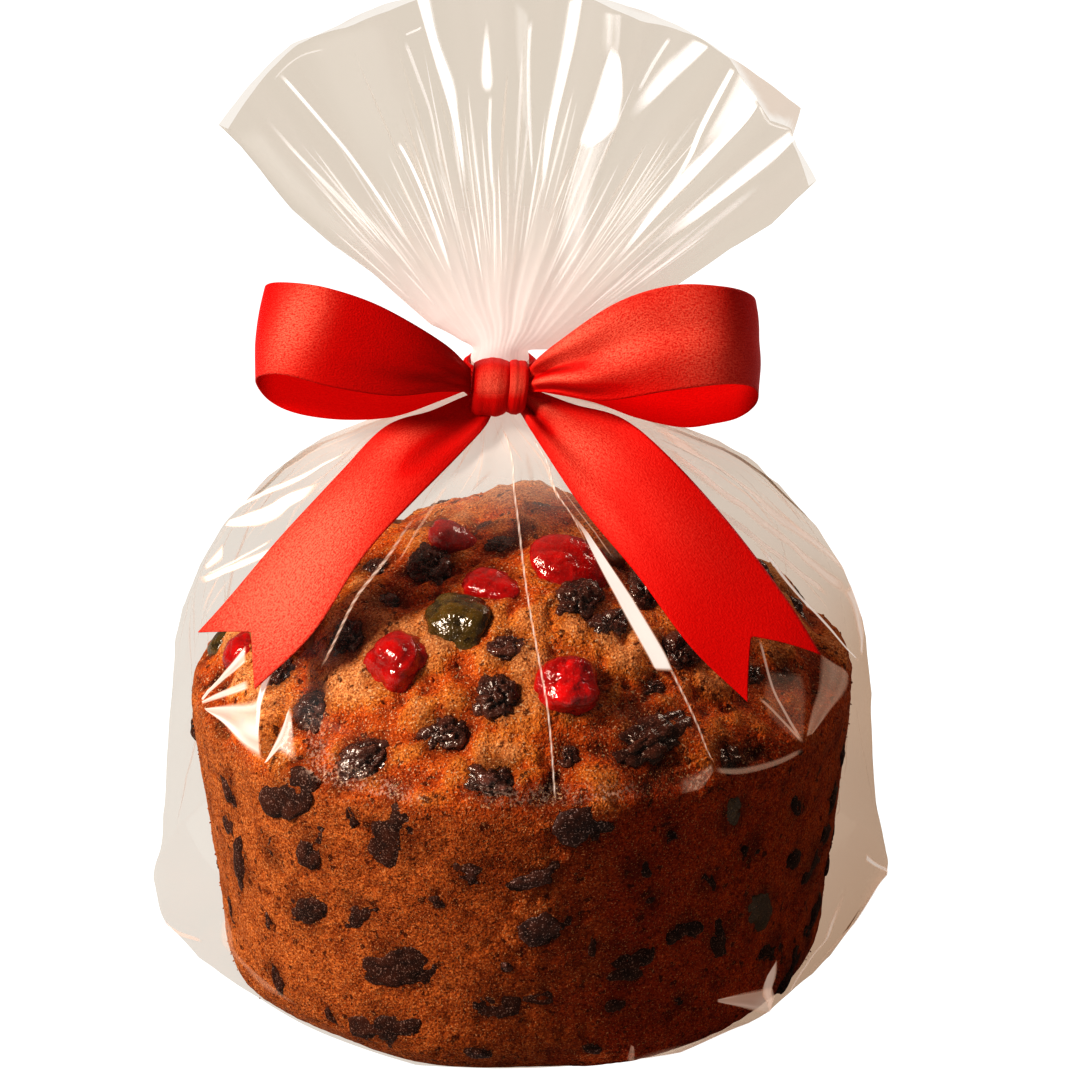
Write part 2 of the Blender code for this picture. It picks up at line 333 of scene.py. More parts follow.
@dataclass(frozen=True)
class CrumbFinish:
    """Baked crumb: sandy grains, golden on the mounds of the top and red-brown in its hollows, where the hollows are
    painted darker as shade.

    wall gives the wall's colour from -X to +X, painted light and shade: paler on the -X side
    that faces the light, darkest a little past the middle and lighter again at +X.
    """

    pale: tuple[float, float, float] = (0.78, 0.285, 0.090)
    golden: tuple[float, float, float] = (0.70, 0.190, 0.026)
    amber: tuple[float, float, float] = (0.63, 0.096, 0.008)
    brown: tuple[float, float, float] = (0.35, 0.045, 0.005)
    dark: tuple[float, float, float] = (0.060, 0.008, 0.002)
    wall: tuple[tuple[float, tuple[float, float, float]], ...] = (
        (0.05, (0.50, 0.124, 0.024)), (0.30, (0.50, 0.112, 0.020)), (0.52, (0.33, 0.058, 0.008)),
        (0.66, (0.31, 0.028, 0.003)), (0.86, (0.50, 0.060, 0.003)), (1.0, (0.60, 0.100, 0.005)))
    half_width: float = 0.085

    def build(self) -> bpy.types.Material:
        """Colours by height in the relief and by patches, times the colour of single grains."""
        t = NodeTree("cake_crumb")
        patches = t.noise(95.0, 3.0, 0.6)
        blotches = t.noise(160.0, 4.0, 0.65)
        grains = t.noise(1750.0, 1.5, 0.6)
        clumps = t.noise(900.0, 2.0, 0.6)
        # painted light and shade: the relief value makes the top paler on its mounds and darker in its hollows; the
        # patches are the crumb's own tone, and the edge value makes it darker along the rim
        crust_and_shade = t.maths("ADD", t.maths("MULTIPLY", patches, 0.55),
                        t.maths("MULTIPLY", t.value_of("relief"), 0.55))
        crust_and_shade = t.maths("SUBTRACT", crust_and_shade, t.maths("MULTIPLY", t.value_of("edge"), 0.12))
        top = t.ramp(crust_and_shade, ((0.29, self.dark), (0.39, self.brown), (0.49, self.amber),
                             (0.60, self.golden), (0.74, self.pale)))
        # painted light and shade: the wall's colour follows its X position, pale towards -X and dark past the middle
        side = t.add("SeparateXYZ", {0: t.place()}).outputs["X"]
        side = t.maths("ADD", side, t.maths("MULTIPLY", t.maths("SUBTRACT", patches, 0.5), 0.05))
        wall = t.ramp(t.span(side, -self.half_width, self.half_width), self.wall)
        shade = t.ramp(blotches, ((0.28, (0.50, 0.38, 0.34)), (0.50, (1.0, 1.0, 1.0)),
                                  (0.74, (1.25, 1.35, 1.45))))
        wall = t.blend(1.0, wall, shade, "MULTIPLY")
        colour = t.blend(t.value_of("top"), wall, top)
        speckle = t.ramp(t.maths("ADD", t.maths("MULTIPLY", grains, 0.75),
                                 t.maths("MULTIPLY", clumps, 0.25)),
                         ((0.37, (0.40, 0.26, 0.20)), (0.46, (0.88, 0.80, 0.76)),
                          (0.54, (1.05, 1.07, 1.08)), (0.62, (1.6, 1.95, 2.3))))
        moist = t.maths("MULTIPLY", t.value_of("top"), 0.12)
        colour = t.blend(1.0, colour, t.blend(moist, speckle, (1.0, 1.0, 1.0)), "MULTIPLY")
        flecks = t.span(t.noise(330.0, 2.0, 0.55), 0.635, 0.675, 0.0, 0.85)
        colour = t.blend(flecks, colour, self.dark)
        # painted shade round the fruit, together with the syrup that soaks the crumb there
        colour = t.blend(t.maths("MULTIPLY", t.value_of("soak_and_shade"), 0.75), colour, self.dark)
        # painted glints: bright specks mixed into the colour over all the crumb, and on the top specks that are
        # partly sugar and partly painted glints
        glints = t.span(t.noise(2700.0, 0.0), 0.70, 0.74, 0.0, 0.50)
        colour = t.blend(glints, colour, (0.95, 0.50, 0.22))
        sugar_glints = t.span(t.noise(1500.0, 1.0), 0.655, 0.69, 0.0, 0.60)
        colour = t.blend(t.maths("MULTIPLY", sugar_glints, t.value_of("top")), colour, (1.0, 0.70, 0.42))
        lumps = t.bump(clumps, 0.0009, 0.8)
        fine = t.bump(grains, 0.0004, 0.9, lumps)
        rough = t.maths("SUBTRACT", t.span(grains, 0.45, 0.68, 0.80, 0.45),
                        t.maths("MULTIPLY", t.value_of("top"), 0.16))
        shader = t.add("BsdfPrincipled", {
            "Base Color": colour, "Roughness": rough, "Specular IOR Level": 0.16, "Specular Tint": (1.0, 0.50, 0.24, 1.0), "Normal": fine})
        return t.finish(shader.outputs["BSDF"])


@dataclass(frozen=True)
class FruitFinish:
    """Candied or dried fruit: a clear colour painted darker in the wrinkles as shade, under a sugary gloss."""

    name: str
    deep: tuple[float, float, float]
    bright: tuple[float, float, float]
    gloss: float
    glow: float
    shine: float
    frost_and_glints: float = 0.0
    mottled: float = 0.5
    sugar_glints: tuple[float, float, float] = (0.86, 0.52, 0.42)

    def build(self) -> bpy.types.Material:
        """Colour painted darker in the wrinkles as shade, light passing a little way in, and frosty sugary specks
        that are partly painted glints.
        """
        t = NodeTree(self.name)
        mottle = t.noise(420.0, 3.0, 0.6)
        # painted shade: the relief value darkens the colour in the wrinkles, and for fruit in the wall towards +X
        fac = t.maths("ADD", t.maths("MULTIPLY", t.value_of("relief"), 0.6),
                      t.maths("MULTIPLY", mottle, self.mottled))
        low = 0.05 + 0.5 * self.mottled
        colour = t.ramp(fac, ((low, self.deep), (low + 0.5, self.bright)))
        crinkle = t.noise(620.0, 4.0, 0.62)
        # pale specks that are partly sugar and partly painted glints
        sugar_glints = t.maths("MULTIPLY", t.span(t.noise(2300.0, 1.0), 0.62, 0.67), self.frost_and_glints)
        colour = t.blend(sugar_glints, colour, self.sugar_glints)
        shader = t.add("BsdfPrincipled", {
            "Base Color": colour,
            "Roughness": t.span(crinkle, 0.35, 0.7, self.gloss, self.gloss + 0.12),
            "Specular IOR Level": self.shine, "Specular Tint": (1.0, 0.93, 0.88, 1.0),
            "Subsurface Weight": self.glow, "Subsurface Scale": 0.004,
            "Subsurface Radius": (1.0, 0.25, 0.12),
            "Normal": t.bump(t.noise(590.0, 2.5, 0.55), 0.0006, 0.8)})
        return t.finish(shader.outputs["BSDF"])


@dataclass(frozen=True)
class FilmFinish:
    """Clear cellophane: a faint warm tint, a Fresnel gloss, and milky where its haze is high."""

    name: str
    tint: tuple[float, float, float]
    warm: tuple[float, float, float] = (0.630, 0.515, 0.425)
    gloss: float = 0.22
    milk: tuple[float, float, float] = (0.90, 0.77, 0.68)

    def build(self) -> bpy.types.Material:
        """A transparent sheet, tinted by its warm value and whitened by its haze value, with a painted glow where it
        is milky.
        """
        t = NodeTree(self.name)
        crinkle = t.bump(t.noise(110.0, 2.0, 0.5), 0.0012, 0.35)
        clear = t.add("BsdfTransparent", {"Color": t.blend(t.value_of("warm"), self.tint, self.warm)})
        white = t.add("BsdfDiffuse", {"Color": (*self.milk, 1.0)})
        through = t.add("BsdfTranslucent", {"Color": (*self.milk, 1.0)})
        milky = t.add("MixShader", {"Fac": 0.5, 1: white.outputs[0], 2: through.outputs[0]})
        # painted glow: the milky film gives off a little light of its own
        shine = t.add("Emission", {"Color": (*self.milk, 1.0), "Strength": 0.25})
        lit = t.add("AddShader", {0: milky.outputs[0], 1: shine.outputs[0]})
        hazy = t.add("MixShader", {"Fac": t.value_of("haze"), 1: clear.outputs[0],
                                   2: lit.outputs[0]})
        gloss = t.add("BsdfGlossy", {"Color": (1.0, 0.98, 0.96, 1.0), "Roughness": self.gloss,
                                     "Normal": crinkle})
        edge = t.add("LayerWeight", {"Blend": 0.18, "Normal": crinkle}).outputs["Fresnel"]
        whole = t.add("MixShader", {"Fac": t.maths("MULTIPLY", edge, 0.05), 1: hazy.outputs[0],
                                    2: gloss.outputs[0]})
        return t.finish(whole.outputs[0])


@dataclass(frozen=True)
class PaintedHighlightFinish:
    """Painted highlights of folded film: white where a fold catches the light, and warm where the highlight is
    faint.
    """

    name: str
    glow: float = 0.75
    faint: tuple[float, float, float] = (0.95, 0.90, 0.86)
    bright: tuple[float, float, float] = (0.96, 0.93, 0.90)

    def build(self) -> bpy.types.Material:
        """White scattering film with a painted glow, whose cover follows the gleam value of its points.

        The cover breaks up into glints by the grain value.
        """
        t = NodeTree(self.name)
        gleam = t.value_of("gleam")
        clear = t.add("BsdfTransparent", {"Color": (1.0, 1.0, 1.0, 1.0)})
        tone = t.blend(t.span(gleam, 0.30, 0.80), self.faint, self.bright)
        front = t.add("BsdfDiffuse", {"Color": tone})
        behind = t.add("BsdfTranslucent", {"Color": tone})
        both = t.add("MixShader", {"Fac": 0.4, 1: front.outputs[0], 2: behind.outputs[0]})
        # painted glow: the highlight strips give off light of their own
        shine = t.add("Emission", {"Color": tone, "Strength": self.glow})
        white = t.add("AddShader", {0: both.outputs[0], 1: shine.outputs[0]})
        sparkle = t.span(t.noise(1250.0, 2.0, 0.6), 0.50, 0.62, 0.0, 2.6)
        loose = t.value_of("grain")
        cover = t.maths("ADD", t.maths("MULTIPLY", sparkle, loose), t.maths("SUBTRACT", 1.0, loose))
        whole = t.add("MixShader", {"Fac": t.maths("MULTIPLY", gleam, cover), 1: clear.outputs[0],
                                    2: white.outputs[0]})
        return t.finish(whole.outputs[0])


@dataclass(frozen=True)
class SatinFinish:
    """Red satin ribbon: deep red cloth that turns pale and grainy where its threads shine."""

    base: tuple[float, float, float] = (0.54, 0.0001, 0.0001)
    lit: tuple[float, float, float] = (0.66, 0.0030, 0.0020)
    shine: tuple[float, float, float] = (0.86, 0.120, 0.068)
    shade: tuple[float, float, float] = (0.20, 0.0001, 0.0001)

    def build(self) -> bpy.types.Material:
        """A fine slub over the ribbon's own coordinates, in metres, in colour and bump.

        The sheen value of a point is a painted highlight, broken up by the slub, that draws the colour towards the
        shine;
        below zero it is painted shade that draws it towards the shade. The glow value is a painted glow that stands
        in for light through the cloth.
        """
        t = NodeTree("ribbon_satin")
        surface = t.add("UVMap", uv_map="Surface").outputs["UV"]
        grain = t.noise(2100.0, 2.0, 0.65, surface)
        stretched = t.add("Mapping", {"Vector": surface, "Scale": (0.35, 2.4, 1.0)})
        thread = t.noise(1900.0, 1.0, 0.5, stretched.outputs["Vector"])
        weave = t.maths("ADD", t.maths("MULTIPLY", grain, 0.65), t.maths("MULTIPLY", thread, 0.35))
        sheen = t.value_of("sheen")
        colour = t.blend(t.span(weave, 0.42, 0.62), self.base, self.lit)
        slub = t.span(weave, 0.40, 0.60, 0.20, 1.75)
        colour = t.blend(t.maths("MULTIPLY", t.span(sheen, 0.0, 1.0), slub), colour, self.shine)
        colour = t.blend(t.span(sheen, 0.0, -1.0), colour, self.shade)
        shader = t.add("BsdfPrincipled", {
            "Base Color": colour, "Roughness": t.span(weave, 0.4, 0.62, 0.55, 0.42),
            "Specular IOR Level": 0.28, "Specular Tint": (1.0, 0.25, 0.16, 1.0),
            "Emission Color": (0.80, 0.001, 0.001, 1.0),
            "Emission Strength": t.maths("MULTIPLY", t.value_of("glow"), 0.42),
            "Normal": t.bump(weave, 0.00035, 0.8)})
        return t.finish(shader.outputs["BSDF"])


CHERRY = FruitFinish("candied_cherry", (0.34, 0.0003, 0.0003), (0.86, 0.001, 0.001), 0.09, 0.25, 0.80,
                     0.08, 0.2, (0.98, 0.36, 0.28))
RAISIN = FruitFinish("raisin_skin", (0.020, 0.005, 0.004), (0.165, 0.046, 0.026), 0.16, 0.0, 0.65, 0.30)
WALL_RAISIN = FruitFinish("raisin_in_crumb", (0.018, 0.005, 0.003), (0.105, 0.026, 0.012), 0.50, 0.0,
                          0.14, 0.30)
GREEN = FruitFinish("candied_green", (0.026, 0.014, 0.002), (0.19, 0.105, 0.009), 0.09, 0.10, 0.80, 0.12,
                    0.35, (0.80, 0.66, 0.42))
NUT = FruitFinish("roasted_nut", (0.13, 0.035, 0.014), (0.46, 0.17, 0.05), 0.45, 0.0, 0.25)


# ---------------------------------------------------------------- cake

class Kind(Enum):
    """What a piece of fruit is."""

    CHERRY = "cherries"
    RAISIN = "raisins"
    GREEN = "candied_peel"
    NUT = "nuts"


@dataclass(frozen=True)
class Fruit:
    """One piece of fruit set in the cake.

    Angles are in degrees and sizes in millimetres. reach is the distance from the axis on the
    top, or the height above the base on the side. turn swings the long side in the surface.
    """

    kind: Kind
    angle: float
    reach: float
    long: float
    wide: float
    turn: float = 0.0
    high: float = 0.8
    sink: float = 0.25


#: the foot of the cake and of the bag is pressed into this many flats, from this angle
FOOT_CORNERS = 7
FOOT_TURN = math.radians(-161.0)

C, R, G, N = Kind.CHERRY, Kind.RAISIN, Kind.GREEN, Kind.NUT

TOP_FRUIT = (
    Fruit(C, -123, 54, 15, 14, 20, 0.85, 0.10), Fruit(C, -78, 60, 15, 14, 0, 0.85, 0.10),
    Fruit(C, -64, 27, 18, 14, 30, 0.7, 0.15), Fruit(C, -160, 18, 11, 10, 0, 1.0, 0.05),
    Fruit(C, -102, 30, 15, 10, 10, 0.6, 0.2), Fruit(G, -110, 42, 17, 14, 10, 0.7, 0.15),
    Fruit(R, -148, 26, 17, 12, 20, 0.8, 0.1), Fruit(R, -141, 53, 14, 13, 30, 0.7, 0.2),
    Fruit(R, -137, 69, 11, 10, 0, 0.8, 0.15), Fruit(R, -120, 75, 16, 12, -25, 0.7, 0.2),
    Fruit(R, -106, 68, 14, 11, -30, 0.7, 0.2), Fruit(R, -95, 61, 13, 12, 60, 0.8, 0.15),
    Fruit(R, -93, 50, 11, 8, 0, 0.8, 0.15), Fruit(R, -68, 39, 14, 11, -30, 0.7, 0.2),
    Fruit(R, -62, 47, 11, 9, -20, 0.8, 0.15), Fruit(R, -64, 72, 23, 13, -15, 0.6, 0.2),
    Fruit(R, -95, 77, 13, 9, 0, 0.6, 0.2), Fruit(R, -81, 73, 7, 6, 80, 0.7, 0.25),
    Fruit(R, -46, 57, 13, 11, -30, 0.8, 0.15), Fruit(R, -31, 68, 9, 7, 0, 0.7, 0.2),
    Fruit(R, -49, 79, 11, 8, -15, 0.6, 0.25), Fruit(R, -96, 12, 14, 8, 5, 0.6, 0.45),
    Fruit(R, -38, 40, 16, 12, -35, 0.7, 0.15), Fruit(R, -168, 38, 13, 9, 10, 0.7, 0.2),
    Fruit(R, -58, 62, 8, 6, 0, 0.7, 0.3), Fruit(R, -143, 41, 12, 9, 30, 0.6, 0.3),
    Fruit(R, 8, 70, 12, 9, 0, 0.8, 0.38), Fruit(R, -22, 72, 9, 10, 0, 0.7, 0.35),
    Fruit(N, -160, 56, 17, 9, 25, 0.5, 0.2), Fruit(N, -32, 27, 13, 9, 0, 0.6, 0.2),
    Fruit(N, 150, 26, 14, 8, 30, 0.6, 0.45), Fruit(R, -153, 66, 12, 9, 40, 0.7, 0.2),
    Fruit(R, 30, 7, 12, 7, 0, 0.6, 0.42), Fruit(R, 178, 9, 10, 6, 20, 0.6, 0.42),
)

SIDE_FRUIT = (
    Fruit(R, -152, 63, 9, 7, 80), Fruit(R, -154, 53, 7, 5, 70), Fruit(R, -150, 43, 13, 6, 100),
    Fruit(R, -128, 61, 11, 7, 120), Fruit(R, -139, 53, 9, 6, 130), Fruit(R, -111, 68, 13, 10, 120),
    Fruit(R, -132, 40, 13, 8, -20), Fruit(R, -119, 45, 11, 6, -25), Fruit(R, -142, 32, 7, 3, 90),
    Fruit(R, -119, 74, 5, 3, 90), Fruit(R, -98, 61, 8, 7, 0), Fruit(R, -86, 61, 12, 7, -10),
    Fruit(R, -85, 47, 12, 10, -30), Fruit(R, -79, 73, 12, 9, 20), Fruit(R, -113, 32, 15, 9, -15),
    Fruit(R, -142, 17, 9, 4, 100), Fruit(R, -116, 13, 17, 9, -20), Fruit(R, -94, 24, 12, 8, -10),
    Fruit(R, -86, 26, 7, 3, 0), Fruit(R, -70, 60, 8, 6, 20), Fruit(R, -67, 51, 6, 5, 20),
    Fruit(R, -60, 40, 9, 8, 50), Fruit(R, -70, 33, 11, 9, 10), Fruit(R, -59, 19, 5, 4, 0),
    Fruit(R, -72, 22, 5, 4, 0), Fruit(R, -55, 51, 10, 4, 55), Fruit(R, -51, 34, 12, 5, 70),
    Fruit(R, -45, 56, 9, 6, 60), Fruit(G, -51, 68, 9, 8, 70), Fruit(G, -41, 38, 11, 8, 70),
    Fruit(R, -132, 76, 15, 9, -35), Fruit(R, -92, 36, 4, 3, 0), Fruit(R, -128, 12, 5, 3, 60),
    Fruit(R, -98, 10, 6, 4, 0), Fruit(R, -76, 10, 5, 3, 20), Fruit(R, -160, 25, 6, 3, 80),
    Fruit(R, -104, 53, 4, 3, 30), Fruit(R, -33, 62, 8, 5, 70), Fruit(R, -30, 45, 7, 5, 50),
    Fruit(R, -35, 22, 9, 6, 30), Fruit(R, -64, 67, 5, 3, 0), Fruit(R, -77, 40, 4, 2, 90),
)


@dataclass
class Cake:
    """The cake: a turned body with a rough domed top, its fruit and its loose grains.

    The meridian runs from the centre of the base out to a rounded foot, up the leaning wall,
    over a soft rim and up a parabolic dome to the axis. run is the length along it.
    """

    foot: float = 0.0764
    rim: float = 0.0836
    rim_height: float = 0.0770
    rise: float = 0.0445
    foot_round: float = 0.0140
    rim_round: float = 0.0060
    columns: int = 560
    rows: int = 158
    grain_count: int = 5200
    wall_fruit_scale: float = 1.22

    def __post_init__(self) -> None:
        """Work out the meridian once, as a table of radius and height against its length."""
        quarter = np.linspace(0.0, math.pi / 2, 40)
        inner = self.foot - self.foot_round
        flat = np.column_stack((np.linspace(0.0, inner, 30), np.zeros(30)))
        corner = np.column_stack((inner + self.foot_round * np.sin(quarter),
                                  self.foot_round * (1 - np.cos(quarter))))
        share = np.linspace(0.0, 1.0, 60)
        wall = np.column_stack((self.foot + (self.rim - self.foot) * share,
                                self.foot_round + (self.rim_height - self.foot_round) * share))
        bend = np.linspace(0.0, math.pi / 2, 300)
        dome = np.column_stack((self.rim * np.cos(bend),
                                self.rim_height + self.rise * np.sin(bend) ** 2))
        line = np.vstack((flat, corner[1:], wall[1:], dome[1:]))
        run = np.append(0.0, np.cumsum(np.linalg.norm(np.diff(line, axis=0), axis=1)))
        even = np.linspace(0.0, run[-1], 1600)
        line = np.column_stack((np.interp(even, run, line[:, 0]), np.interp(even, run, line[:, 1])))
        reach = max(3, int(self.rim_round / (even[1] - even[0])))
        kernel = np.hanning(reach * 2 + 1)
        kernel /= kernel.sum()
        padded = np.vstack((np.repeat(line[:1], reach, 0), line, np.repeat(line[-1:], reach, 0)))
        soft = np.column_stack([np.convolve(padded[:, k], kernel, "valid") for k in range(2)])
        blend = smoothstep(even, 0.02, 0.05) * (1 - smoothstep(even, run[-1] - 0.03, run[-1] - 0.01))
        self._run = even
        self._line = line + (soft - line) * blend[:, None]
        slope = unit(np.gradient(self._line, axis=0))
        self._out = np.column_stack((slope[:, 1], -slope[:, 0]))
        self._rim_run = run[len(flat) + len(corner) + len(wall) - 3]
        self._bumps = Noise(7)
        self._fruit = self._all_fruit()

    # -- surface

    def _meridian(self, run: Array) -> tuple[Array, Array, Array, Array]:
        """Radius, height and the outward direction's two parts at a length along the meridian."""
        return tuple(np.interp(run, self._run, column) for column in
                     (self._line[:, 0], self._line[:, 1], self._out[:, 0], self._out[:, 1]))

    def run_at_radius(self, radius: Array) -> Array:
        """The length at which the dome has this radius."""
        part = self._run > self._rim_run
        return np.interp(-np.asarray(radius), -self._line[part, 0], self._run[part])

    def run_at_height(self, height: Array) -> Array:
        """The length at which the wall has this height."""
        part = (self._run < self._rim_run) & (self._line[:, 1] > 1e-6)
        return np.interp(height, self._line[part, 1], self._run[part])

    def _plain(self, angle: Array, run: Array) -> tuple[Array, Array]:
        """The body before its crumb relief, and its outward directions.

        The radius at an angle is the meridian's, swollen by a slow wave round the wall and
        pressed into flats at the foot, and the rim and dome stand higher towards +X.
        """
        radius, height, out_r, out_z = self._meridian(run)
        top = smoothstep(run, self._rim_run - 0.02, self._rim_run + 0.012)
        wave = 0.006 * np.sin(3 * angle + 0.6) + 0.004 * np.sin(5 * angle + 2.0)
        flats = 0.014 * np.cos(FOOT_CORNERS * (angle - FOOT_TURN)) * (1 - smoothstep(height, 0.0, 0.03))
        lift = (0.0022 * np.cos(angle) + 0.0009 * np.sin(4 * angle + 1.0)) * top
        radius = radius * (1 + flats + wave * smoothstep(height, 0.0, 0.02))
        points = np.stack((radius * np.cos(angle), radius * np.sin(angle), height + lift), axis=-1)
        outward = np.stack((out_r * np.cos(angle), out_r * np.sin(angle), out_z), axis=-1)
        return points, unit(outward)

    def _relief(self, points: Array, top: Array) -> Array:
        """Mounds, crumbs and pores, in metres along the outward direction.

        The top is made of rounded mounds with sharp creases between them, where smooth noise
        passes zero; the wall is nearly even, with small holes.
        """
        mounds = 3.6 * np.abs(self._bumps.smooth(points, 0.0210)) + 1.7 * np.abs(
            self._bumps.smooth(points + 0.31, 0.0092)) + 0.8 * self._bumps.smooth(points, 0.0050)
        crumbs = 0.55 * self._bumps.layered(points, 0.0028, 2)
        pits = smoothstep(0.40 - self._bumps.pores(points, 0.0052), 0.0, 0.3)
        wall = 0.75 * self._bumps.smooth(points, 0.021) + 0.30 * self._bumps.layered(points, 0.0028, 2)
        holes = smoothstep(0.36 - Noise(23).pores(points, 0.0046), 0.0, 0.25)
        return MM * (top * (mounds - 1.6 + crumbs - 0.9 * pits) + (1 - top) * (wall - 0.8 * holes))

    def surface(self, angle: Array, run: Array) -> tuple[Array, Array, dict[str, Array]]:
        """The finished surface: the plain body moved out by its relief, dished round each fruit.

        Args:
            angle: angles round the cake in radians.
            run: lengths along the meridian, the same shape.

        Returns:
            Points, outward directions, and the values top, edge, relief and soak_and_shade for the finish.
        """
        plain, outward = self._plain(angle, run)
        top = smoothstep(run, self._rim_run - 0.004, self._rim_run + 0.006)
        relief = self._relief(plain, top)
        # soak_and_shade darkens the crumb round each fruit: partly syrup soaked into it, and partly painted shade in
        # the dip round each fruit on the top
        soak_and_shade = np.zeros(angle.shape)
        for place, size, on_top in self._fruit_places:
            away = np.linalg.norm(plain - place, axis=-1) / size
            if on_top:
                soak_and_shade = np.maximum(soak_and_shade, np.exp(-(away / 1.15) ** 4))
                relief -= MM * 0.5 * np.exp(-(away / 0.95) ** 4)
            else:
                soak_and_shade = np.maximum(soak_and_shade, 0.75 * np.exp(-(away / 1.05) ** 3))
        settle = smoothstep(plain[..., 2], 0.0, 0.004)
        relief = relief * settle
        edge = np.exp(-((run - self._rim_run - 0.001) / 0.009) ** 2)
        # painted light: the relief value is raised round the axis, so the crown is painted paler where the bow's
        # shadow falls on it
        crown = 0.12 * np.exp(-(np.hypot(plain[..., 0], plain[..., 1] - 0.005) / 0.030) ** 2)
        values = {"top": top, "soak_and_shade": soak_and_shade, "edge": edge,
                  "relief": np.clip(0.5 + relief / (5.5 * MM) + crown, 0.0, 1.0)}
        return plain + outward * relief[..., None], outward, values

    # -- fruit

    def _all_fruit(self) -> list[Fruit]:
        """The fruit listed for the front, and more of the same over the back."""
        rng = np.random.default_rng(41)
        fruit = list(TOP_FRUIT)
        for angle, reach in ((25, 46), (40, 62), (62, 52), (70, 70), (88, 58), (100, 74), (112, 50),
                             (120, 64), (138, 48), (145, 74), (165, 58), (172, 76), (10, 60),
                             (52, 78), (128, 78), (85, 44), (30, 79), (-6, 52), (-172, 70)):
            kind = (C, R, R, R, G, R, N, R)[rng.integers(8)]
            long = rng.uniform(9, 16) if kind is R else rng.uniform(13, 16)
            fruit.append(Fruit(kind, angle, reach, long, long * rng.uniform(0.65, 0.95),
                               rng.uniform(-60, 60), 0.75, 0.38 if reach < 50 else 0.26))
        self._top_count = len(fruit)
        fruit += list(SIDE_FRUIT)
        for step in range(46):
            angle = -22 + (step * 5.05) % 212 + rng.uniform(-3, 3)
            height = 8 + (step * 37.7) % 62 + rng.uniform(-3, 3)
            long = rng.uniform(4, 14)
            kind = G if step % 15 == 7 else R
            fruit.append(Fruit(kind, angle, height, long, long * rng.uniform(0.45, 0.85),
                               rng.uniform(0, 180)))
        angle = np.radians([f.angle for f in fruit])
        reach = MM * np.array([f.reach for f in fruit])
        on_top = np.arange(len(fruit)) < self._top_count
        self._fruit_angle = angle
        self._fruit_run = np.where(on_top, self.run_at_radius(reach), self.run_at_height(reach))
        places, _ = self._plain(angle, self._fruit_run)
        sizes = MM * np.array([(f.long + f.wide) / 4 for f in fruit])
        sizes[~on_top] *= self.wall_fruit_scale
        self._fruit_places = list(zip(places, sizes, on_top))
        return fruit

    def _fruit_frames(self, chosen: Array) -> tuple[Array, Array]:
        """Where each chosen fruit sits and its axes: long, wide and out, as matrix columns."""
        angle = self._fruit_angle[chosen]
        points, outward, _ = self.surface(angle, self._fruit_run[chosen])
        around = np.stack((-np.sin(angle), np.cos(angle), 0 * angle), axis=-1)
        up = np.cross(outward, around)
        turn = np.radians([self._fruit[i].turn for i in chosen])[:, None]
        long = np.cos(turn) * around - np.sin(turn) * up
        wide = np.cross(outward, long)
        return points, np.stack((long, wide, outward), axis=-1)

    def _lumps(self, chosen: Array, rings: int, columns: int, wrinkle: float,
               chunky: float) -> tuple[Array, list[list[int]], Array]:
        """Chosen fruit as wrinkled balls, dented by ridged noise.

        A ball's point is its direction, squared off by the chunky share, times the half sizes,
        times one plus slow noise less the ridges, turned into the surface and sunk in it. Fruit
        in the wall is cut almost flush with it. Its relief value is painted shade: low in the
        wrinkles, and for fruit in the wall lower towards +X, where the wall is painted darker.

        Args:
            chosen: which of the fruit.
            rings: rings of points on each ball.
            columns: points in a ring.
            wrinkle: the depth of the ridges, as a share of the radius.
            chunky: 0 for a ball, towards 1 for a block.

        Returns:
            Points for all of them, faces, and the relief value of each point.
        """
        ball, faces = sphere_grid(rings, columns)
        block = ball / np.max(np.abs(ball), axis=1, keepdims=True)
        form = ball * (1 - chunky) + block * chunky * 0.86
        noise = Noise(101 + len(chosen))
        field = ball[None] + 7.7 * np.arange(len(chosen))[:, None, None]
        slow = noise.smooth(field, 0.95)
        ridge = (noise.ridged(field + 3.1, 0.52) * 0.5 + noise.ridged(field + 9.4, 0.24) * 0.3
                 + noise.ridged(field + 5.2, 0.12) * 0.2)
        side = chosen >= self._top_count
        swell = 1.14 + (0.20 + 0.16 * side[:, None]) * slow - wrinkle * ridge ** 3
        swell = swell + 0.16 * side[:, None] * noise.smooth(field + 2.2, 0.45)
        fruit = [self._fruit[i] for i in chosen]
        half = 0.5 * MM * np.array([(f.long, f.wide, f.wide * f.high) for f in fruit])
        half[side] *= self.wall_fruit_scale
        half[side, 2] = np.minimum(half[side, 1], 1.7 * MM)
        rest = half[:, 2] * (0.20 - 2 * np.array([f.sink for f in fruit]))
        rest[side] = 0.45 * MM - half[side, 2] * 1.08
        local = form[None] * swell[..., None] * half[:, None, :]
        places, axes = self._fruit_frames(chosen)
        centre = places + axes[:, :, 2] * rest[:, None]
        points = np.einsum("pij,pvj->pvi", axes, local) + centre[:, None, :]
        count = len(ball)
        quads = [[v + k * count for v in face] for k in range(len(chosen)) for face in faces]
        # painted shade: fruit in the wall is darker towards +X, the side of the wall in shade
        painted_shade_factor = 1.0 - 0.55 * side[:, None] * smoothstep(places[:, :1], -0.02, 0.06)
        return points.reshape(-1, 3), quads, ((1.0 - ridge) * painted_shade_factor).ravel()

    # -- pieces

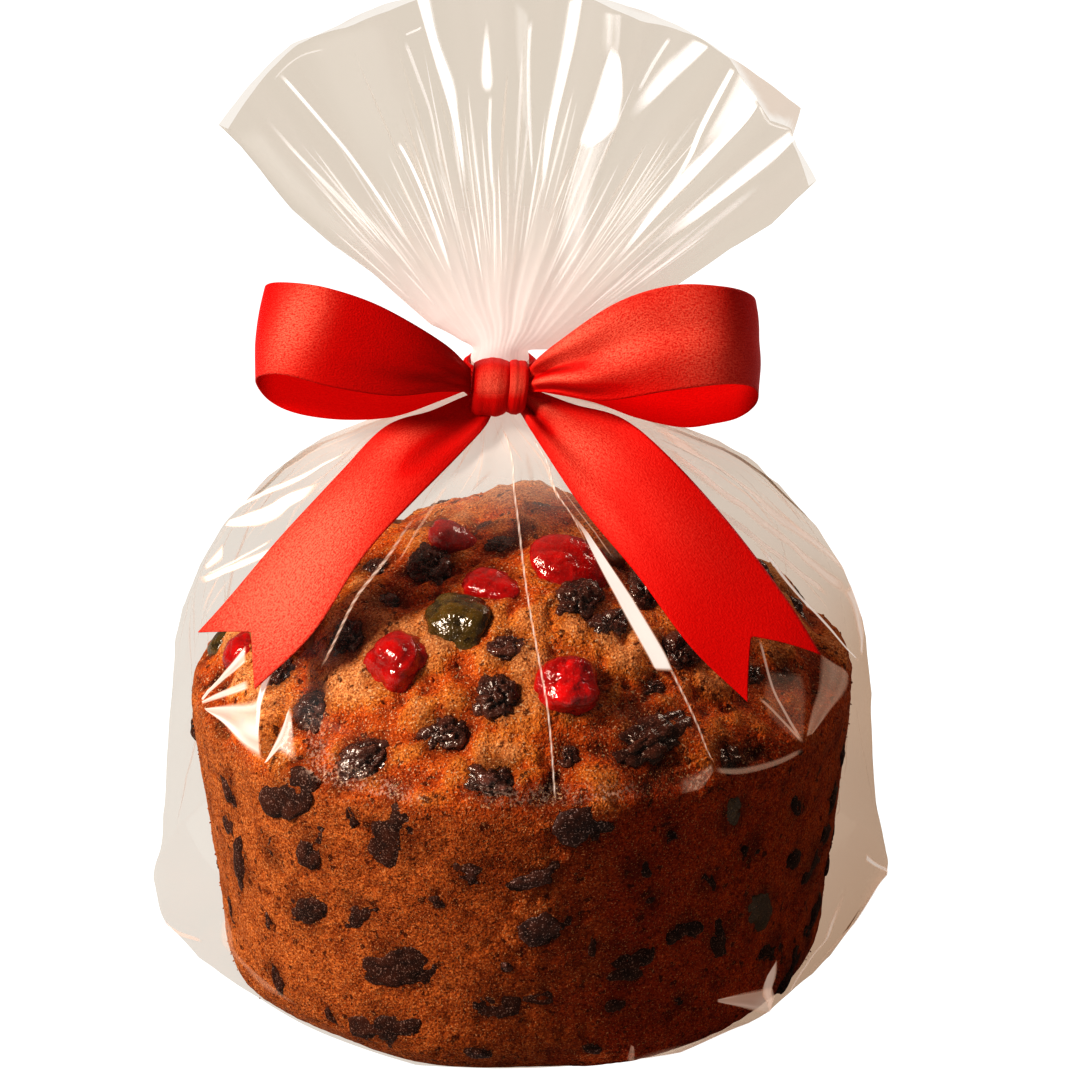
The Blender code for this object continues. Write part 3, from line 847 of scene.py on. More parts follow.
    def build_body(self) -> bpy.types.Object:
        """The crumb as one closed grid: a pole at the base, rings, and a pole on the dome."""
        run = np.concatenate((np.linspace(0.004, 0.060, 8),
                              np.linspace(0.0620, self._run[-1] - 0.0010, self.rows - 8)))
        angle = np.arange(self.columns) * 2 * math.pi / self.columns
        run_grid, angle_grid = np.meshgrid(run, angle, indexing="ij")
        points, _, values = self.surface(angle_grid, run_grid)
        points[..., 2] = np.maximum(points[..., 2], 0.0) + 0.0006
        ends = np.array([[0, 0, points[0, :, 2].mean()], [0, 0, points[-1, :, 2].mean()]])
        count = self.rows * self.columns
        step = np.arange(self.columns)
        after = (step + 1) % self.columns
        last = (self.rows - 1) * self.columns
        faces = grid_faces(self.rows, self.columns, wrap=True).tolist()
        faces += np.column_stack((np.full(self.columns, count), after, step)).tolist()
        faces += np.column_stack((np.full(self.columns, count + 1), last + step, last + after)).tolist()
        attributes = {key: np.append(value.ravel(), (value[0].mean(), value[-1].mean()))
                      for key, value in values.items()}
        return build_piece("cake_body", np.vstack((points.reshape(-1, 3), ends)), faces,
                           CrumbFinish().build(), attributes=attributes)

    def build_fruit(self) -> list[bpy.types.Object]:
        """One piece for each kind of fruit, and one for the raisins in the wall."""
        looks = {Kind.CHERRY: (CHERRY, "cherry", 34, 48, 0.16, 0.10),
                 Kind.RAISIN: (RAISIN, "raisin", 32, 46, 0.70, 0.05),
                 Kind.GREEN: (GREEN, "candied_green", 26, 36, 0.16, 0.10),
                 Kind.NUT: (NUT, "nut", 18, 26, 0.15, 0.05)}
        pieces = []
        for kind, (finish, slot, rings, columns, wrinkle, chunky) in looks.items():
            material = finish.build()
            in_wall = WALL_RAISIN.build() if kind is Kind.RAISIN else material
            every = np.array([i for i, f in enumerate(self._fruit) if f.kind is kind])
            groups = {kind.value: every}
            if kind is Kind.RAISIN:
                groups = {"raisins": every[every < self._top_count],
                          "wall_raisins": every[every >= self._top_count]}
            for name, chosen in groups.items():
                dense = name != "wall_raisins"
                points, faces, relief = self._lumps(
                    chosen, rings if dense else 16, columns if dense else 30,
                    wrinkle if dense else 0.35, chunky)
                pieces.append(build_piece(name, points, faces, material if dense else in_wall,
                                          attributes={"relief": relief}))
        return pieces

    def build_grains(self) -> bpy.types.Object:
        """Loose grains of crumb: small uneven balls strewn over the wall and top."""
        rng = np.random.default_rng(5)
        angle = rng.uniform(-math.pi, math.pi, self.grain_count)
        run = rng.uniform(0.075, self._run[-1], self.grain_count)
        radius = np.interp(run, self._run, self._line[:, 0])
        keep = rng.uniform(0, self.rim * 1.1, self.grain_count) < radius
        angle, run = angle[keep], run[keep]
        points, outward, values = self.surface(angle, run)
        size = 0.5 * MM * rng.uniform(0.5, 1.5, len(run)) * (0.35 + 0.55 * values["top"])
        ball, faces = sphere_grid(2, 5)
        shape = ball[None] * (1 + 0.45 * rng.uniform(-1, 1, (len(run), len(ball), 1)))
        grains = points[:, None, :] + outward[:, None, :] * size[:, None, None] * 0.35
        grains = grains + shape * size[:, None, None]
        count = len(ball)
        quads = [[v + k * count for v in face] for k in range(len(run)) for face in faces]
        attributes = {key: np.repeat(value, count) for key, value in values.items()}
        return build_piece("crumb_grains", grains.reshape(-1, 3), quads,
                           bpy.data.materials["cake_crumb"], attributes=attributes)

    def build(self) -> list[bpy.types.Object]:
        """Build the crumb, the fruit and the grains."""
        return [self.build_body(), *self.build_fruit(), self.build_grains()]


# ---------------------------------------------------------------- film

Pairs = tuple[tuple[float, float], ...]


@dataclass(frozen=True)
class Gleam:
    """A painted highlight where a fold of film catches the light: a strip between two lines drawn on a surface.

    On the fan the two coordinates are the angle from upright in degrees and the distance from
    the tie in millimetres. On the body they are the angle round the cake in degrees and the
    height in millimetres. soft is the share of the width over which each side fades out, ends
    the share of the length over which each end does, fibre how streaky it is, and twists how
    many turns it makes on itself, dark and bright by turns. grain is how far it breaks up into
    glints over the rough crumb.
    """

    first: Pairs
    second: Pairs
    strength: float = 1.0
    soft: tuple[float, float] = (0.25, 0.25)
    ends: tuple[float, float] = (0.08, 0.15)
    fibre: float = 0.25
    twists: int = 0
    grain: float = 0.0

    def strip(self, surface: Callable[[Array, Array], tuple[Array, Array]], lift: float,
              rows: int = 44, columns: int = 9) -> tuple[Array, Array]:
        """The strip as a grid just off its surface.

        A point's coordinates are blended between the two lines, each read along a smooth curve.
        Its gleam is the strength, less near the sides and ends, and less along its fibres.

        Args:
            surface: gives points and outward directions for two coordinates.
            lift: how far the strip stands off the surface, in metres.
            rows: points along the strip.
            columns: points across it.

        Returns:
            A grid of points, and the gleam and the grain of each.
        """
        rows += 6 * self.twists
        share = np.linspace(0.0, 1.0, columns)[None, :, None]
        lines = [smooth_curve(line, rows)[:, None, :] for line in (self.first, self.second)]
        place = lines[0] * (1 - share) + lines[1] * share
        points, outward = surface(place[..., 0], place[..., 1])
        across = share[..., 0]
        along = np.linspace(0.0, 1.0, rows)[:, None]
        sides = (smoothstep(across, 0.0, max(self.soft[0], 0.01))
                 * smoothstep(1 - across, 0.0, max(self.soft[1], 0.01)))
        tips = (smoothstep(along, 0.0, max(self.ends[0], 0.01))
                * smoothstep(1 - along, 0.0, max(self.ends[1], 0.01)))
        seed = int(abs(self.first[0][0]) * 10 + abs(self.first[0][1]) * 7)
        field = np.stack((across * 7.0 + 0 * along, along * 2.2 + 0 * across,
                          0 * across + 0 * along), axis=-1)
        threads = 0.5 + 0.5 * Noise(seed).smooth(field, 1.0)
        gleam = self.strength * sides * tips * (1 - self.fibre * threads)
        if self.twists:
            turns = np.sin(2 * math.pi * (self.twists * along + 0.8 * across))
            gleam = gleam * (0.74 + 0.26 * turns)
        return points + outward * lift, np.stack((gleam, np.full_like(gleam, self.grain)), axis=-1)


def hair(start: tuple[float, float], end: tuple[float, float], width: float,
         strength: float) -> Gleam:
    """A thin gleam from one place on a surface to another, width wide in its first coordinate."""
    half = width / 2
    middle = ((start[0] + end[0]) / 2, (start[1] + end[1]) / 2)
    first = ((start[0], start[1]), (middle[0] - half, middle[1]), (end[0], end[1]))
    second = ((start[0], start[1]), (middle[0] + half, middle[1]), (end[0], end[1]))
    return Gleam(first, second, strength, (0.45, 0.45), (0.2, 0.2), 0.0)


def join_grids(grids: Sequence[tuple[Array, Array]]) -> tuple[Array, list[list[int]], Array]:
    """Several open grids as one set of points, faces and values."""
    points, faces, values, first = [], [], [], 0
    for grid, value in grids:
        rows, columns = grid.shape[:2]
        faces += (grid_faces(rows, columns) + first).tolist()
        points.append(grid.reshape(-1, 3))
        values.append(value.reshape(rows * columns, -1))
        first += rows * columns
    return np.vstack(points), faces, np.vstack(values)


@dataclass(frozen=True)
class BagShape:
    """Sizes of the bag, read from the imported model."""

    half_width: float
    half_depth: float
    neck_x: float
    neck_low: float
    neck_high: float
    neck_radius: float

    @classmethod
    def from_model(cls) -> "BagShape":
        """Take the body from the bag's node and the neck from the band's."""
        low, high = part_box("bag")
        band_low, band_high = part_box("bow_band")
        return cls(half_width=(high.x - low.x) / 2, half_depth=(high.y - low.y) / 2,
                   neck_x=(band_low.x + band_high.x) / 2, neck_low=band_low.z - 0.001,
                   neck_high=band_high.z + 0.0004,
                   neck_radius=(band_high.x - band_low.x) / 2 - 0.0018)

    @property
    def fan_origin(self) -> float:
        """The height from which the fan spreads: the middle of the tie."""
        return (self.neck_low + self.neck_high) / 2 - 0.0007


BODY_GLEAMS = (
    # folds of the left shoulder, sweeping down from behind the bow
    Gleam(((-166, 142), (-165.3, 139), (-169.5, 133), (-185.9, 122.6), (-188.4, 118)),
          ((-161, 140.7), (-160.9, 138), (-165.8, 132), (-181, 123.4), (-187, 117.9))),
    Gleam(((-151.9, 136.4), (-158.3, 132.6), (-166.2, 127.8), (-181.4, 119.4)),
          ((-150.7, 134.3), (-152.5, 130.5), (-156.6, 125), (-180.2, 118.2)), 1.0, (0.1, 0.1), (0.1, 0.05)),
    Gleam(((-151, 123.5), (-158.4, 117.5), (-171.8, 108.5)),
          ((-150.8, 122.6), (-157.6, 116.9), (-169.7, 108.7)), 0.8),
    Gleam(((-145.5, 125), (-151.9, 120.6), (-161.2, 114.9), (-174.3, 106.6)),
          ((-146.6, 121.8), (-151.1, 118.6), (-157.5, 114.4), (-169.9, 106.9)), 0.9, (0.3, 0.15)),
    Gleam(((-171.8, 116.6), (-172.7, 113.5), (-174.7, 109.1)),
          ((-166.1, 114.2), (-168, 112.4), (-171.9, 109.4)), 0.8),
    # the star fold on the left rim
    Gleam(((-154.7, 86.3), (-149.2, 93.8), (-144.6, 102.5)),
          ((-154.1, 86.1), (-147.9, 93.2), (-143.1, 99.1)), 0.85, (0.05, 0.1), (0.0, 0.05), 0.4),
    Gleam(((-154.6, 85.8), (-147.3, 91.5), (-141.3, 96.2)),
          ((-154.1, 85.4), (-146.3, 90.3), (-140.3, 94.4)), 0.8, (0.1, 0.2), (0.0, 0.1), 0.4),
    Gleam(((-153.5, 84.7), (-145.5, 89.2), (-138.8, 92.9), (-138.3, 95.1)),
          ((-152.7, 84.7), (-146.4, 84.3), (-140.3, 81.8), (-135.5, 80.6)), 0.86, (0.15, 0.05), (0.0, 0.05), 0.45),
    Gleam(((-135.1, 104.1), (-137.7, 99.7), (-138.3, 95.1), (-138, 89.9), (-137.5, 84.6)),
          ((-134.7, 103.2), (-135.9, 98.6), (-136.7, 93.6), (-136.8, 88.8), (-137, 83.8)), 1.0),
    Gleam(((-135.1, 80.3), (-133.2, 85.1), (-131.6, 89.9), (-130.7, 94.1)),
          ((-134.5, 80.8), (-131.9, 84.5), (-130.1, 86.8), (-129.6, 92.7)), 0.85, (0.1, 0.2), (0.02, 0.1), 0.4),
    Gleam(((-133.1, 83.7), (-131.2, 88), (-130.3, 92.4)),
          ((-127.6, 82.5), (-128.5, 86.7), (-129.6, 91.6)), 0.75, (0.1, 0.45), (0.2, 0.1), grain=0.3),
    # creases down the front
    Gleam(((-115.8, 133.5), (-118.4, 126.1), (-122.5, 116.4), (-124.9, 106.3), (-126.3, 101.8)),
          ((-114.9, 133.2), (-117.6, 125.5), (-121.8, 116), (-124.3, 106), (-125.9, 101.9)), 0.62,
          twists=16),
    Gleam(((-111.5, 139), (-113.6, 131), (-116, 124)), ((-110.5, 139), (-112.8, 131), (-115.5, 124)), 0.3),
    Gleam(((-91.3, 150), (-92.3, 142.7), (-90.6, 133.5), (-88.8, 120.6), (-86.5, 105.9), (-85.3, 96.9),
           (-84.4, 80.5)),
          ((-90.1, 150), (-91.5, 142.7), (-89.9, 133.5), (-88.3, 120.6), (-86.0, 105.9), (-84.85, 96.9),
           (-84.0, 80.5)), 0.85, (0.3, 0.3), (0.02, 0.05), 0.25, 26),
    Gleam(((-79.8, 137), (-76.3, 132), (-74.2, 126.6), (-71.2, 118), (-68.0, 109.3), (-66.2, 104)),
          ((-79.2, 137), (-75.3, 132), (-71.9, 126.4), (-67.7, 117.7), (-64.2, 108.8), (-62.7, 103.3)),
          1.0, (0.12, 0.12), (0.35, 0.02), 0.08),
    Gleam(((-78.0, 148), (-79.6, 145.4), (-80.6, 139), (-77.4, 133.8), (-75, 127)),
          ((-76.8, 148), (-78.8, 145.3), (-79.7, 139), (-76.8, 133.6), (-74.5, 126.8)), 0.8,
          (0.25, 0.25), (0.05, 0.3), 0.2, 14),
    Gleam(((-79.2, 140), (-74.4, 133), (-69.8, 125)), ((-78.7, 140), (-73.9, 133), (-69.4, 125)), 0.4),
    Gleam(((-63.4, 103.6), (-60.8, 95.7), (-58.7, 88.1), (-57.2, 84.2)),
          ((-62.7, 103.5), (-60.2, 95.5), (-58.25, 87.9), (-56.9, 84.1)), 0.8, (0.3, 0.3), (0.0, 0.1),
          0.25, 10),
    # folds of the right shoulder
    Gleam(((-33.7, 123.4), (-31.8, 116.5), (-28.5, 109.6), (-24, 102.7), (-17.9, 94.2), (-12.1, 88.3)),
          ((-32.3, 123.1), (-30.2, 116.1), (-27.1, 109.2), (-22.4, 102.1), (-16.4, 93.5), (-11.1, 88.3)),
          0.95, (0.25, 0.25), (0.1, 0.1)),
    Gleam(((0.9, 145.6), (-10.2, 141.6), (-14.9, 133.9), (-9.8, 122.1), (4.2, 104.2)),
          ((-10.3, 145.8), (-18, 141.3), (-20.8, 133.6), (-15.7, 121.8), (1.4, 102.7)), 0.66, (0.4, 0.4)),
    Gleam(((-24.5, 143.9), (-29.6, 139), (-27.9, 132.1), (-21.5, 124), (-14.3, 114.9), (-3.6, 103.2)),
          ((-33.9, 142.7), (-34.6, 137.5), (-31.6, 130.6), (-24.5, 122.2), (-17.7, 112.9), (-8.2, 101.8)),
          0.72, (0.35, 0.35)),
    Gleam(((-38.7, 135.5), (-34.3, 128.4), (-27.7, 119.8), (-15.8, 106.9)),
          ((-39.7, 134.4), (-35.7, 127), (-29, 118.6), (-17.4, 105.8)), 0.72),
    Gleam(((-10.9, 105.5), (-7.8, 99.9), (-9.1, 94.2), (-10.3, 89.7)),
          ((4.2, 102.2), (4.5, 96.4), (-2.7, 92.1), (-8.9, 87.6)), 0.75, (0.3, 0.3), (0.15, 0.05)),
    Gleam(((-28.3, 97.9), (-32, 91.6), (-34.8, 87.1), (-36.6, 82.7)),
          ((-18.7, 88.8), (-20.4, 86.2), (-27.8, 85.1), (-34.8, 82.6)), 0.38, (0.05, 0.08), (0.02, 0.02), 0.4),
    Gleam(((-43.9, 105.8), (-43.5, 95.7), (-41.1, 88.5), (-37.9, 81.7)),
          ((-43.1, 105.7), (-42.7, 95.4), (-40.3, 88.5), (-37.1, 81.8)), 0.55),
    Gleam(((-47, 94.7), (-43.5, 89.9), (-37.9, 81.7)), ((-46.1, 94.7), (-42.6, 89.8), (-37.1, 81.8)), 0.5),
    Gleam(((-43.5, 100), (-46, 92), (-38.5, 82)), ((-35, 96), (-35.5, 90), (-37.5, 82)), 0.12, (0.1, 0.1)),
    Gleam(((-57.4, 83.8), (-51.9, 82.1), (-44.3, 81.2), (-37.9, 81.2)),
          ((-56.9, 82.2), (-51.7, 80.4), (-43.7, 79.6), (-37.2, 80.1)), 0.35, (0.45, 0.2)),
    # painted reflections on the film along the front of the rim
    Gleam(((-57.4, 84.8), (-60.1, 83.8), (-64.3, 83)), ((-57.1, 82.9), (-59.9, 79.7), (-63.9, 79.5)),
          0.34, (0.4, 0.15), (0.1, 0.3), 0.4, grain=0.35),
    Gleam(((-127.6, 80), (-119.8, 80), (-109.1, 79.4), (-102.5, 79)),
          ((-128.7, 88), (-119.1, 86.4), (-109.3, 84), (-102.6, 82.5)), 0.30, (0.25, 0.6), (0.2, 0.3), 0.8,
          grain=0.96),
    Gleam(((-129, 94), (-127.5, 88), (-126.5, 82)), ((-123, 96), (-121, 90), (-119, 84)), 0.22,
          (0.4, 0.4), (0.3, 0.3), 0.9, grain=0.96),
    Gleam(((-101, 80.5), (-92, 80), (-83, 80), (-68, 80)), ((-101, 86), (-92, 85), (-83, 85), (-68, 84)),
          0.22, (0.3, 0.6), (0.3, 0.3), 0.9, grain=0.96),
    # the lower right corner
    Gleam(((-28.3, 36.3), (-33.1, 29.2), (-36.2, 21.1), (-35.5, 9)),
          ((-26.5, 36.6), (-31.6, 28.4), (-34.6, 21.6), (-34.4, 8.3)), 0.7, (0.4, 0.4), (0.3, 0.05)),
    Gleam(((-1.3, 30.4), (-18, 31.3), (-25.8, 23.5), (-31.9, 14.3)),
          ((-1.4, 27), (-7.1, 21.4), (-20.9, 17.6), (-29.1, 13.5)), 0.4, (0.5, 0.45), (0.2, 0.2), 0.5),
    Gleam(((-16.8, 39.8), (-9.5, 32.3), (-3.3, 26)), ((-17.2, 37.8), (-9.9, 30.9), (-4.9, 26)), 0.8),
    Gleam(((-46.1, 26.8), (-43.9, 20.9), (-41.5, 14), (-33.8, 4.2)),
          ((-46.8, 22.4), (-45.8, 17.6), (-43.4, 13.6), (-35, 4.9)), 0.60, (0.1, 0.1), (0.02, 0.02), 0.35),
    Gleam(((-56.4, 19.8), (-51.8, 19.5), (-46.3, 18.4), (-43.5, 17.9)),
          ((-56.3, 19.1), (-50.3, 14.9), (-43.3, 9.8), (-34, 3.5)), 0.60, (0.1, 0.15), (0.02, 0.02), 0.35),
    Gleam(((-69.2, 4.7), (-60.9, 7.6), (-48.7, 6.9), (-36, 3.5)),
          ((-66.4, 0.6), (-59.6, 2.0), (-46.8, 2.6), (-36.5, 2)), 0.22, (0.3, 0.1)),
    Gleam(((-70.3, 10.9), (-69.2, 4.7)), ((-69.2, 9.6), (-66.2, 1.5)), 0.4),
    # the lower left edge
    Gleam(((-143.2, 37), (-144.5, 27.8), (-140.7, 21.4), (-139.1, 15.1)),
          ((-141.2, 31), (-139.7, 24.7), (-135.2, 18.5), (-129.5, 14.1)), 0.22, (0.3, 0.2)),
    Gleam(((-172.2, 15.9), (-163.1, 18.4), (-152.2, 22.4)), ((-172.2, 14.6), (-164, 16.5), (-152.5, 21)), 0.5),
)

FAN_GLEAMS = (
    Gleam(((-11.4, 101.6), (-10.9, 90), (-10.3, 79.6), (-9.5, 69.1), (-9.3, 58.8), (-9.4, 49.8)),
          ((-9.3, 101), (-9.1, 89.5), (-7.7, 77.7), (-7.9, 70.1), (-8.2, 59.9), (-8.8, 49.7)),
          1.0, (0.15, 0.3), (0.02, 0.3)),
    Gleam(((-1.9, 94.6), (-3, 83.4), (-3.3, 78.4), (-2.8, 75.1)),
          ((-1.6, 94.6), (-1.1, 83.3), (-0.9, 78.3), (-1.5, 75)), 0.85, (0.35, 0.35), (0.6, 0.15)),
    Gleam(((-1.9, 75), (-2.6, 62), (-2.2, 50)), ((-1.2, 75), (-1.7, 62), (-1.8, 50)), 0.4),
    Gleam(((4.2, 93.6), (4.8, 78.6), (6.1, 66), (8.3, 53.5)),
          ((5.1, 95), (5.3, 83.7), (6.7, 68.7), (8.8, 53.6)), 0.65, (0.2, 0.5)),
    Gleam(((1.9, 100), (2.8, 84), (4.9, 66)), ((4.4, 96), (5, 82), (6.3, 66)), 0.18, (0.4, 0.2)),
    Gleam(((9.6, 99.5), (9.7, 87.1), (9.6, 76.8), (9.6, 66.6), (10.4, 56.4), (12, 48.9)),
          ((11.6, 101.4), (11.9, 90.3), (11.8, 80), (11.6, 69.6), (11.8, 59.3), (12.5, 49)),
          1.0, (0.4, 0.2), (0.02, 0.3)),
    Gleam(((17.2, 92), (17, 86.6), (17, 76.6), (16.9, 69.9), (17, 64.7)),
          ((18.6, 90.6), (20.2, 86.1), (22.2, 79.1), (23.1, 71.4), (19, 64.1)), 1.0, (0.15, 0.15), (0.1, 0.12), 0.1),
    Gleam(((17.2, 66.1), (17.5, 55.5), (20.2, 42.8), (27, 28.9)),
          ((23.3, 72.8), (24.3, 59.5), (27.9, 48.3), (34, 34)), 0.45, (0.3, 0.4), (0.1, 0.5), 0.5),
    Gleam(((14.5, 99), (15.3, 92.9), (16.3, 86.8)), ((17.2, 99.8), (18.3, 93), (19.1, 86)), 0.45,
          (0.5, 0.2), (0.05, 0.5), 0.9),
    Gleam(((27.7, 99.8), (25.8, 92), (24.5, 83.3), (23.7, 75.1)),
          ((30.5, 100.2), (29.5, 93.4), (27.6, 84), (25.4, 74.9)), 0.85, (0.4, 0.15), (0.03, 0.4)),
    Gleam(((24.6, 97.7), (23.9, 89.8), (23.7, 82.2)), ((25.2, 97.7), (24.7, 90), (24.4, 82.4)), 0.6),
    Gleam(((40.1, 95.7), (39.9, 88.9), (39.3, 79.9), (38.6, 70.3), (38.6, 59.6), (39.9, 48.9), (40.9, 39.4)),
          ((41, 95.7), (41.5, 89.7), (41.5, 80.1), (41.5, 70.7), (41.2, 59.4), (41.5, 49.1), (42.2, 39.2)),
          1.0, (0.3, 0.1), (0.02, 0.3)),
    Gleam(((35.7, 98.8), (36.5, 92.6), (37.3, 85.8), (38.2, 77.1)),
          ((40.6, 96.5), (41, 89.6), (40.8, 82.7), (40, 75.8)), 0.72, (0.2, 0.1), (0.02, 0.5), 0.3),
    Gleam(((34.4, 98.6), (35.1, 89.5), (36.1, 81.3), (37.7, 73.3), (39.1, 60)),
          ((35.2, 98.8), (36.1, 89.7), (37.1, 81.7), (38.7, 73.3), (39.8, 59.9)), 0.85, (0.2, 0.2), (0.02, 0.4)),
    Gleam(((47, 96.3), (46.5, 87.2), (46.2, 79.4), (46, 71.8), (45.5, 61.7), (45, 50.2)),
          ((48.8, 95.9), (49.3, 88.2), (49.1, 80), (48.8, 71.4), (48.3, 62.2), (46.6, 50.6)),
          0.95, (0.25, 0.15), (0.02, 0.4)),
    Gleam(((50.1, 82.5), (50.4, 69.8), (50.7, 60.1), (51.4, 48.6)),
          ((51.8, 83.1), (52.2, 70.5), (52.3, 60.6), (52.4, 48.9)), 0.35, (0.4, 0.4), (0.3, 0.3)),
    Gleam(((-34.1, 95.1), (-33.3, 84), (-32.2, 70.1), (-31.7, 56.2), (-31.5, 44.1), (-30.8, 33.2)),
          ((-33.4, 94.9), (-32.5, 83.7), (-31.2, 69.8), (-30.6, 56.2), (-30.4, 44.2), (-30, 33.3)),
          0.75, (0.3, 0.3), (0.05, 0.4)),
    Gleam(((-40.1, 89.1), (-40, 75.1), (-39.1, 57.7), (-39.7, 43.8)),
          ((-39.4, 89.2), (-39.3, 74.9), (-38.2, 57.7), (-39, 43.8)), 0.45, (0.3, 0.3), (0.3, 0.4)),
    Gleam(((-21.6, 67.3), (-20.9, 60), (-20.7, 49.8), (-21.1, 38.9), (-22, 31.6)),
          ((-20.8, 67.5), (-20, 59.8), (-19.6, 49.7), (-20, 38.9), (-21, 31.7)), 0.9, (0.25, 0.25), (0.05, 0.3)),
    Gleam(((-14.6, 91.3), (-14.1, 82), (-13.5, 71.4), (-14.2, 58.6)),
          ((-14, 91.5), (-13.4, 82), (-12.9, 71.5), (-13.7, 58.4)), 0.4),
    Gleam(((-30.4, 99.5), (-31.4, 74), (-31.1, 46.9)), ((-14.8, 97.8), (-15.7, 70.8), (-18.7, 45.1)),
          0.08, (0.5, 0.5), (0.05, 0.6), 0.5),
    Gleam(((-45.9, 92.5), (-47.8, 65.5), (-45.7, 40.8)), ((-40.6, 88.2), (-41.5, 62.2), (-39.4, 40.2)),
          0.10, (0.5, 0.5), (0.1, 0.3), 0.5),
    Gleam(((-14, 93), (-12, 93.5), (-11.4, 94)), ((-14, 92.3), (-12, 92.8), (-11.4, 93.3)), 0.5),
    Gleam(((-35, 95), (-30.5, 96.6), (-26, 95.6)), ((-35, 94.6), (-30.5, 96.1), (-26, 95.1)), 0.25),
    Gleam(((41, 95.8), (44.2, 94.2), (47.2, 96.5)), ((41, 95.2), (44.2, 93.6), (47.2, 95.9)), 0.35),
)


@dataclass
class Film:
    """The clear bag: a skin over the cake, the gathered neck, and the pleated fan above the tie."""

    shape: BagShape
    columns: int = 432
    gathers: int = 12
    fan_length: float = 102.0
    fan_depth: float = 4.6

    #: height in millimetres, and half width and half depth as shares of the bag's
    rows: tuple[tuple[float, float, float], ...] = (
        (0.3, 0.700, 0.742), (4, 0.802, 0.850), (12, 0.905, 0.902), (26, 1.000, 0.922),
        (50, 0.978, 0.953), (72, 0.962, 0.982), (80, 0.956, 0.980), (92, 0.940, 0.885),
        (106, 0.885, 0.715), (118, 0.813, 0.573), (130, 0.709, 0.427), (138, 0.588, 0.333),
        (144.5, 0.429, 0.246), (150, 0.231, 0.164), (154, 0.083, 0.089))

    #: distance from the tie in millimetres, and the angles of the left and right side folds
    sides: tuple[tuple[float, float, float], ...] = (
        (9, -40, 50), (16, -45, 59), (22, -50, 61), (41, -48.5, 62), (54, -49.5, 60.5), (68, -49.0, 59.2),
        (83, -46.9, 58.9), (92, -46.1, 57.6), (104, -46.0, 56.5))

    #: angle from upright and distance of the cut edge, front layer and back layer
    front_rim: Pairs = ((-46, 94.7), (-30, 100), (-22, 98.4), (-13.7, 99.8), (0, 102.5), (12.6, 101),
                        (20, 99.3), (28.7, 100.7), (33.7, 100.2), (36, 98.6), (40.6, 96), (44, 94.4),
                        (47, 96.6), (50, 94.4), (57.4, 92.6))
    back_rim: Pairs = ((-46, 92), (-38, 95), (-30, 97.6), (-14, 98.4), (0, 100.8), (12.6, 99.5),
                       (28, 98.8), (33.7, 98.6), (40, 99.6), (46.8, 100.6), (49.5, 93.5), (57.4, 90))

    def __post_init__(self) -> None:
        """Prepare the noise that the film's crinkles come from."""
        self._crinkle = Noise(61)

    def body_surface(self, angle: Array, height: Array) -> tuple[Array, Array]:
        """The skin over the cake.

        At each height the section is an ellipse. Its radius is drawn in by gathers that deepen
        towards the neck, stands out in an ear at each lower corner, waves where the film hangs
        free at the two sides, and is broken by small crinkles with sharp crests.

        Args:
            angle: angles round the cake in degrees.
            height: heights in millimetres.

        Returns:
            Points in metres and outward directions.
        """
        turn = np.radians(angle)
        table = np.array(self.rows)
        half_x = np.interp(height, table[:, 0], table[:, 1]) * self.shape.half_width
        half_y = np.interp(height, table[:, 0], table[:, 2]) * self.shape.half_depth
        rise = smoothstep(height, 96.0, 152.0)
        wave = 0.5 - 0.5 * np.cos(self.gathers * turn + 0.9 * np.sin(2 * turn + 0.4))
        fine = np.abs(np.sin(14.5 * turn + 1.1 * np.sin(3 * turn)))
        free = np.abs(np.cos(turn)) ** 4 * (1 - rise)
        part = 2 * math.pi / FOOT_CORNERS
        flat = 1 / np.cos(np.mod(turn - FOOT_TURN, part) - part / 2) - 1.045
        flat = 0.35 * flat * (1 - smoothstep(height, 3.0, 26.0))
        hang = np.sin(9 * turn + 0.02 * height) * 0.003 + np.abs(np.sin(5 * turn + 1.0)) * 0.004
        ears = sum(size * np.exp(-np.abs((np.mod(angle - at + 180, 360) - 180) / wide) ** 1.4
                                 - np.abs((height - level) / tall) ** 1.4)
                   for at, level, wide, tall, size in (
                       (0, 27, 13, 11, 0.028), (-173, 16, 14, 9, 0.075), (-36, 5, 9, 5, 0.035),
                       (38, 8, 12, 8, 0.030), (140, 9, 12, 8, 0.030)))
        radial = 1 - 0.055 * rise * wave - 0.045 * rise ** 2 * fine + free * hang + ears + flat
        centre = self.shape.neck_x * smoothstep(height, 142.0, 154.0)
        points = np.stack((centre + half_x * radial * np.cos(turn),
                           half_y * radial * np.sin(turn), MM * height + 0 * turn), axis=-1)
        slope = smoothstep(height, 70.0, 100.0)
        outward = unit(np.stack((np.cos(turn) / half_x, np.sin(turn) / half_y,
                                 slope / (0.045 + 0 * turn)), axis=-1))
        crest = self._crinkle.ridged(points, 0.016) ** 2
        loose = 0.15 + 0.85 * np.maximum(free, rise)
        points = points + outward * (crest * loose * 0.9 * MM)[..., None]
        points[..., 2] = np.maximum(points[..., 2], 0.0003)
        return points, outward

    def _side_folds(self, reach: Array) -> tuple[Array, Array]:
        """The middle angle and half spread of the fan at a distance from the tie."""
        table = np.array(self.sides)
        left = np.interp(reach, table[:, 0], table[:, 1])
        right = np.interp(reach, table[:, 0], table[:, 2])
        return (left + right) / 2, (right - left) / 2

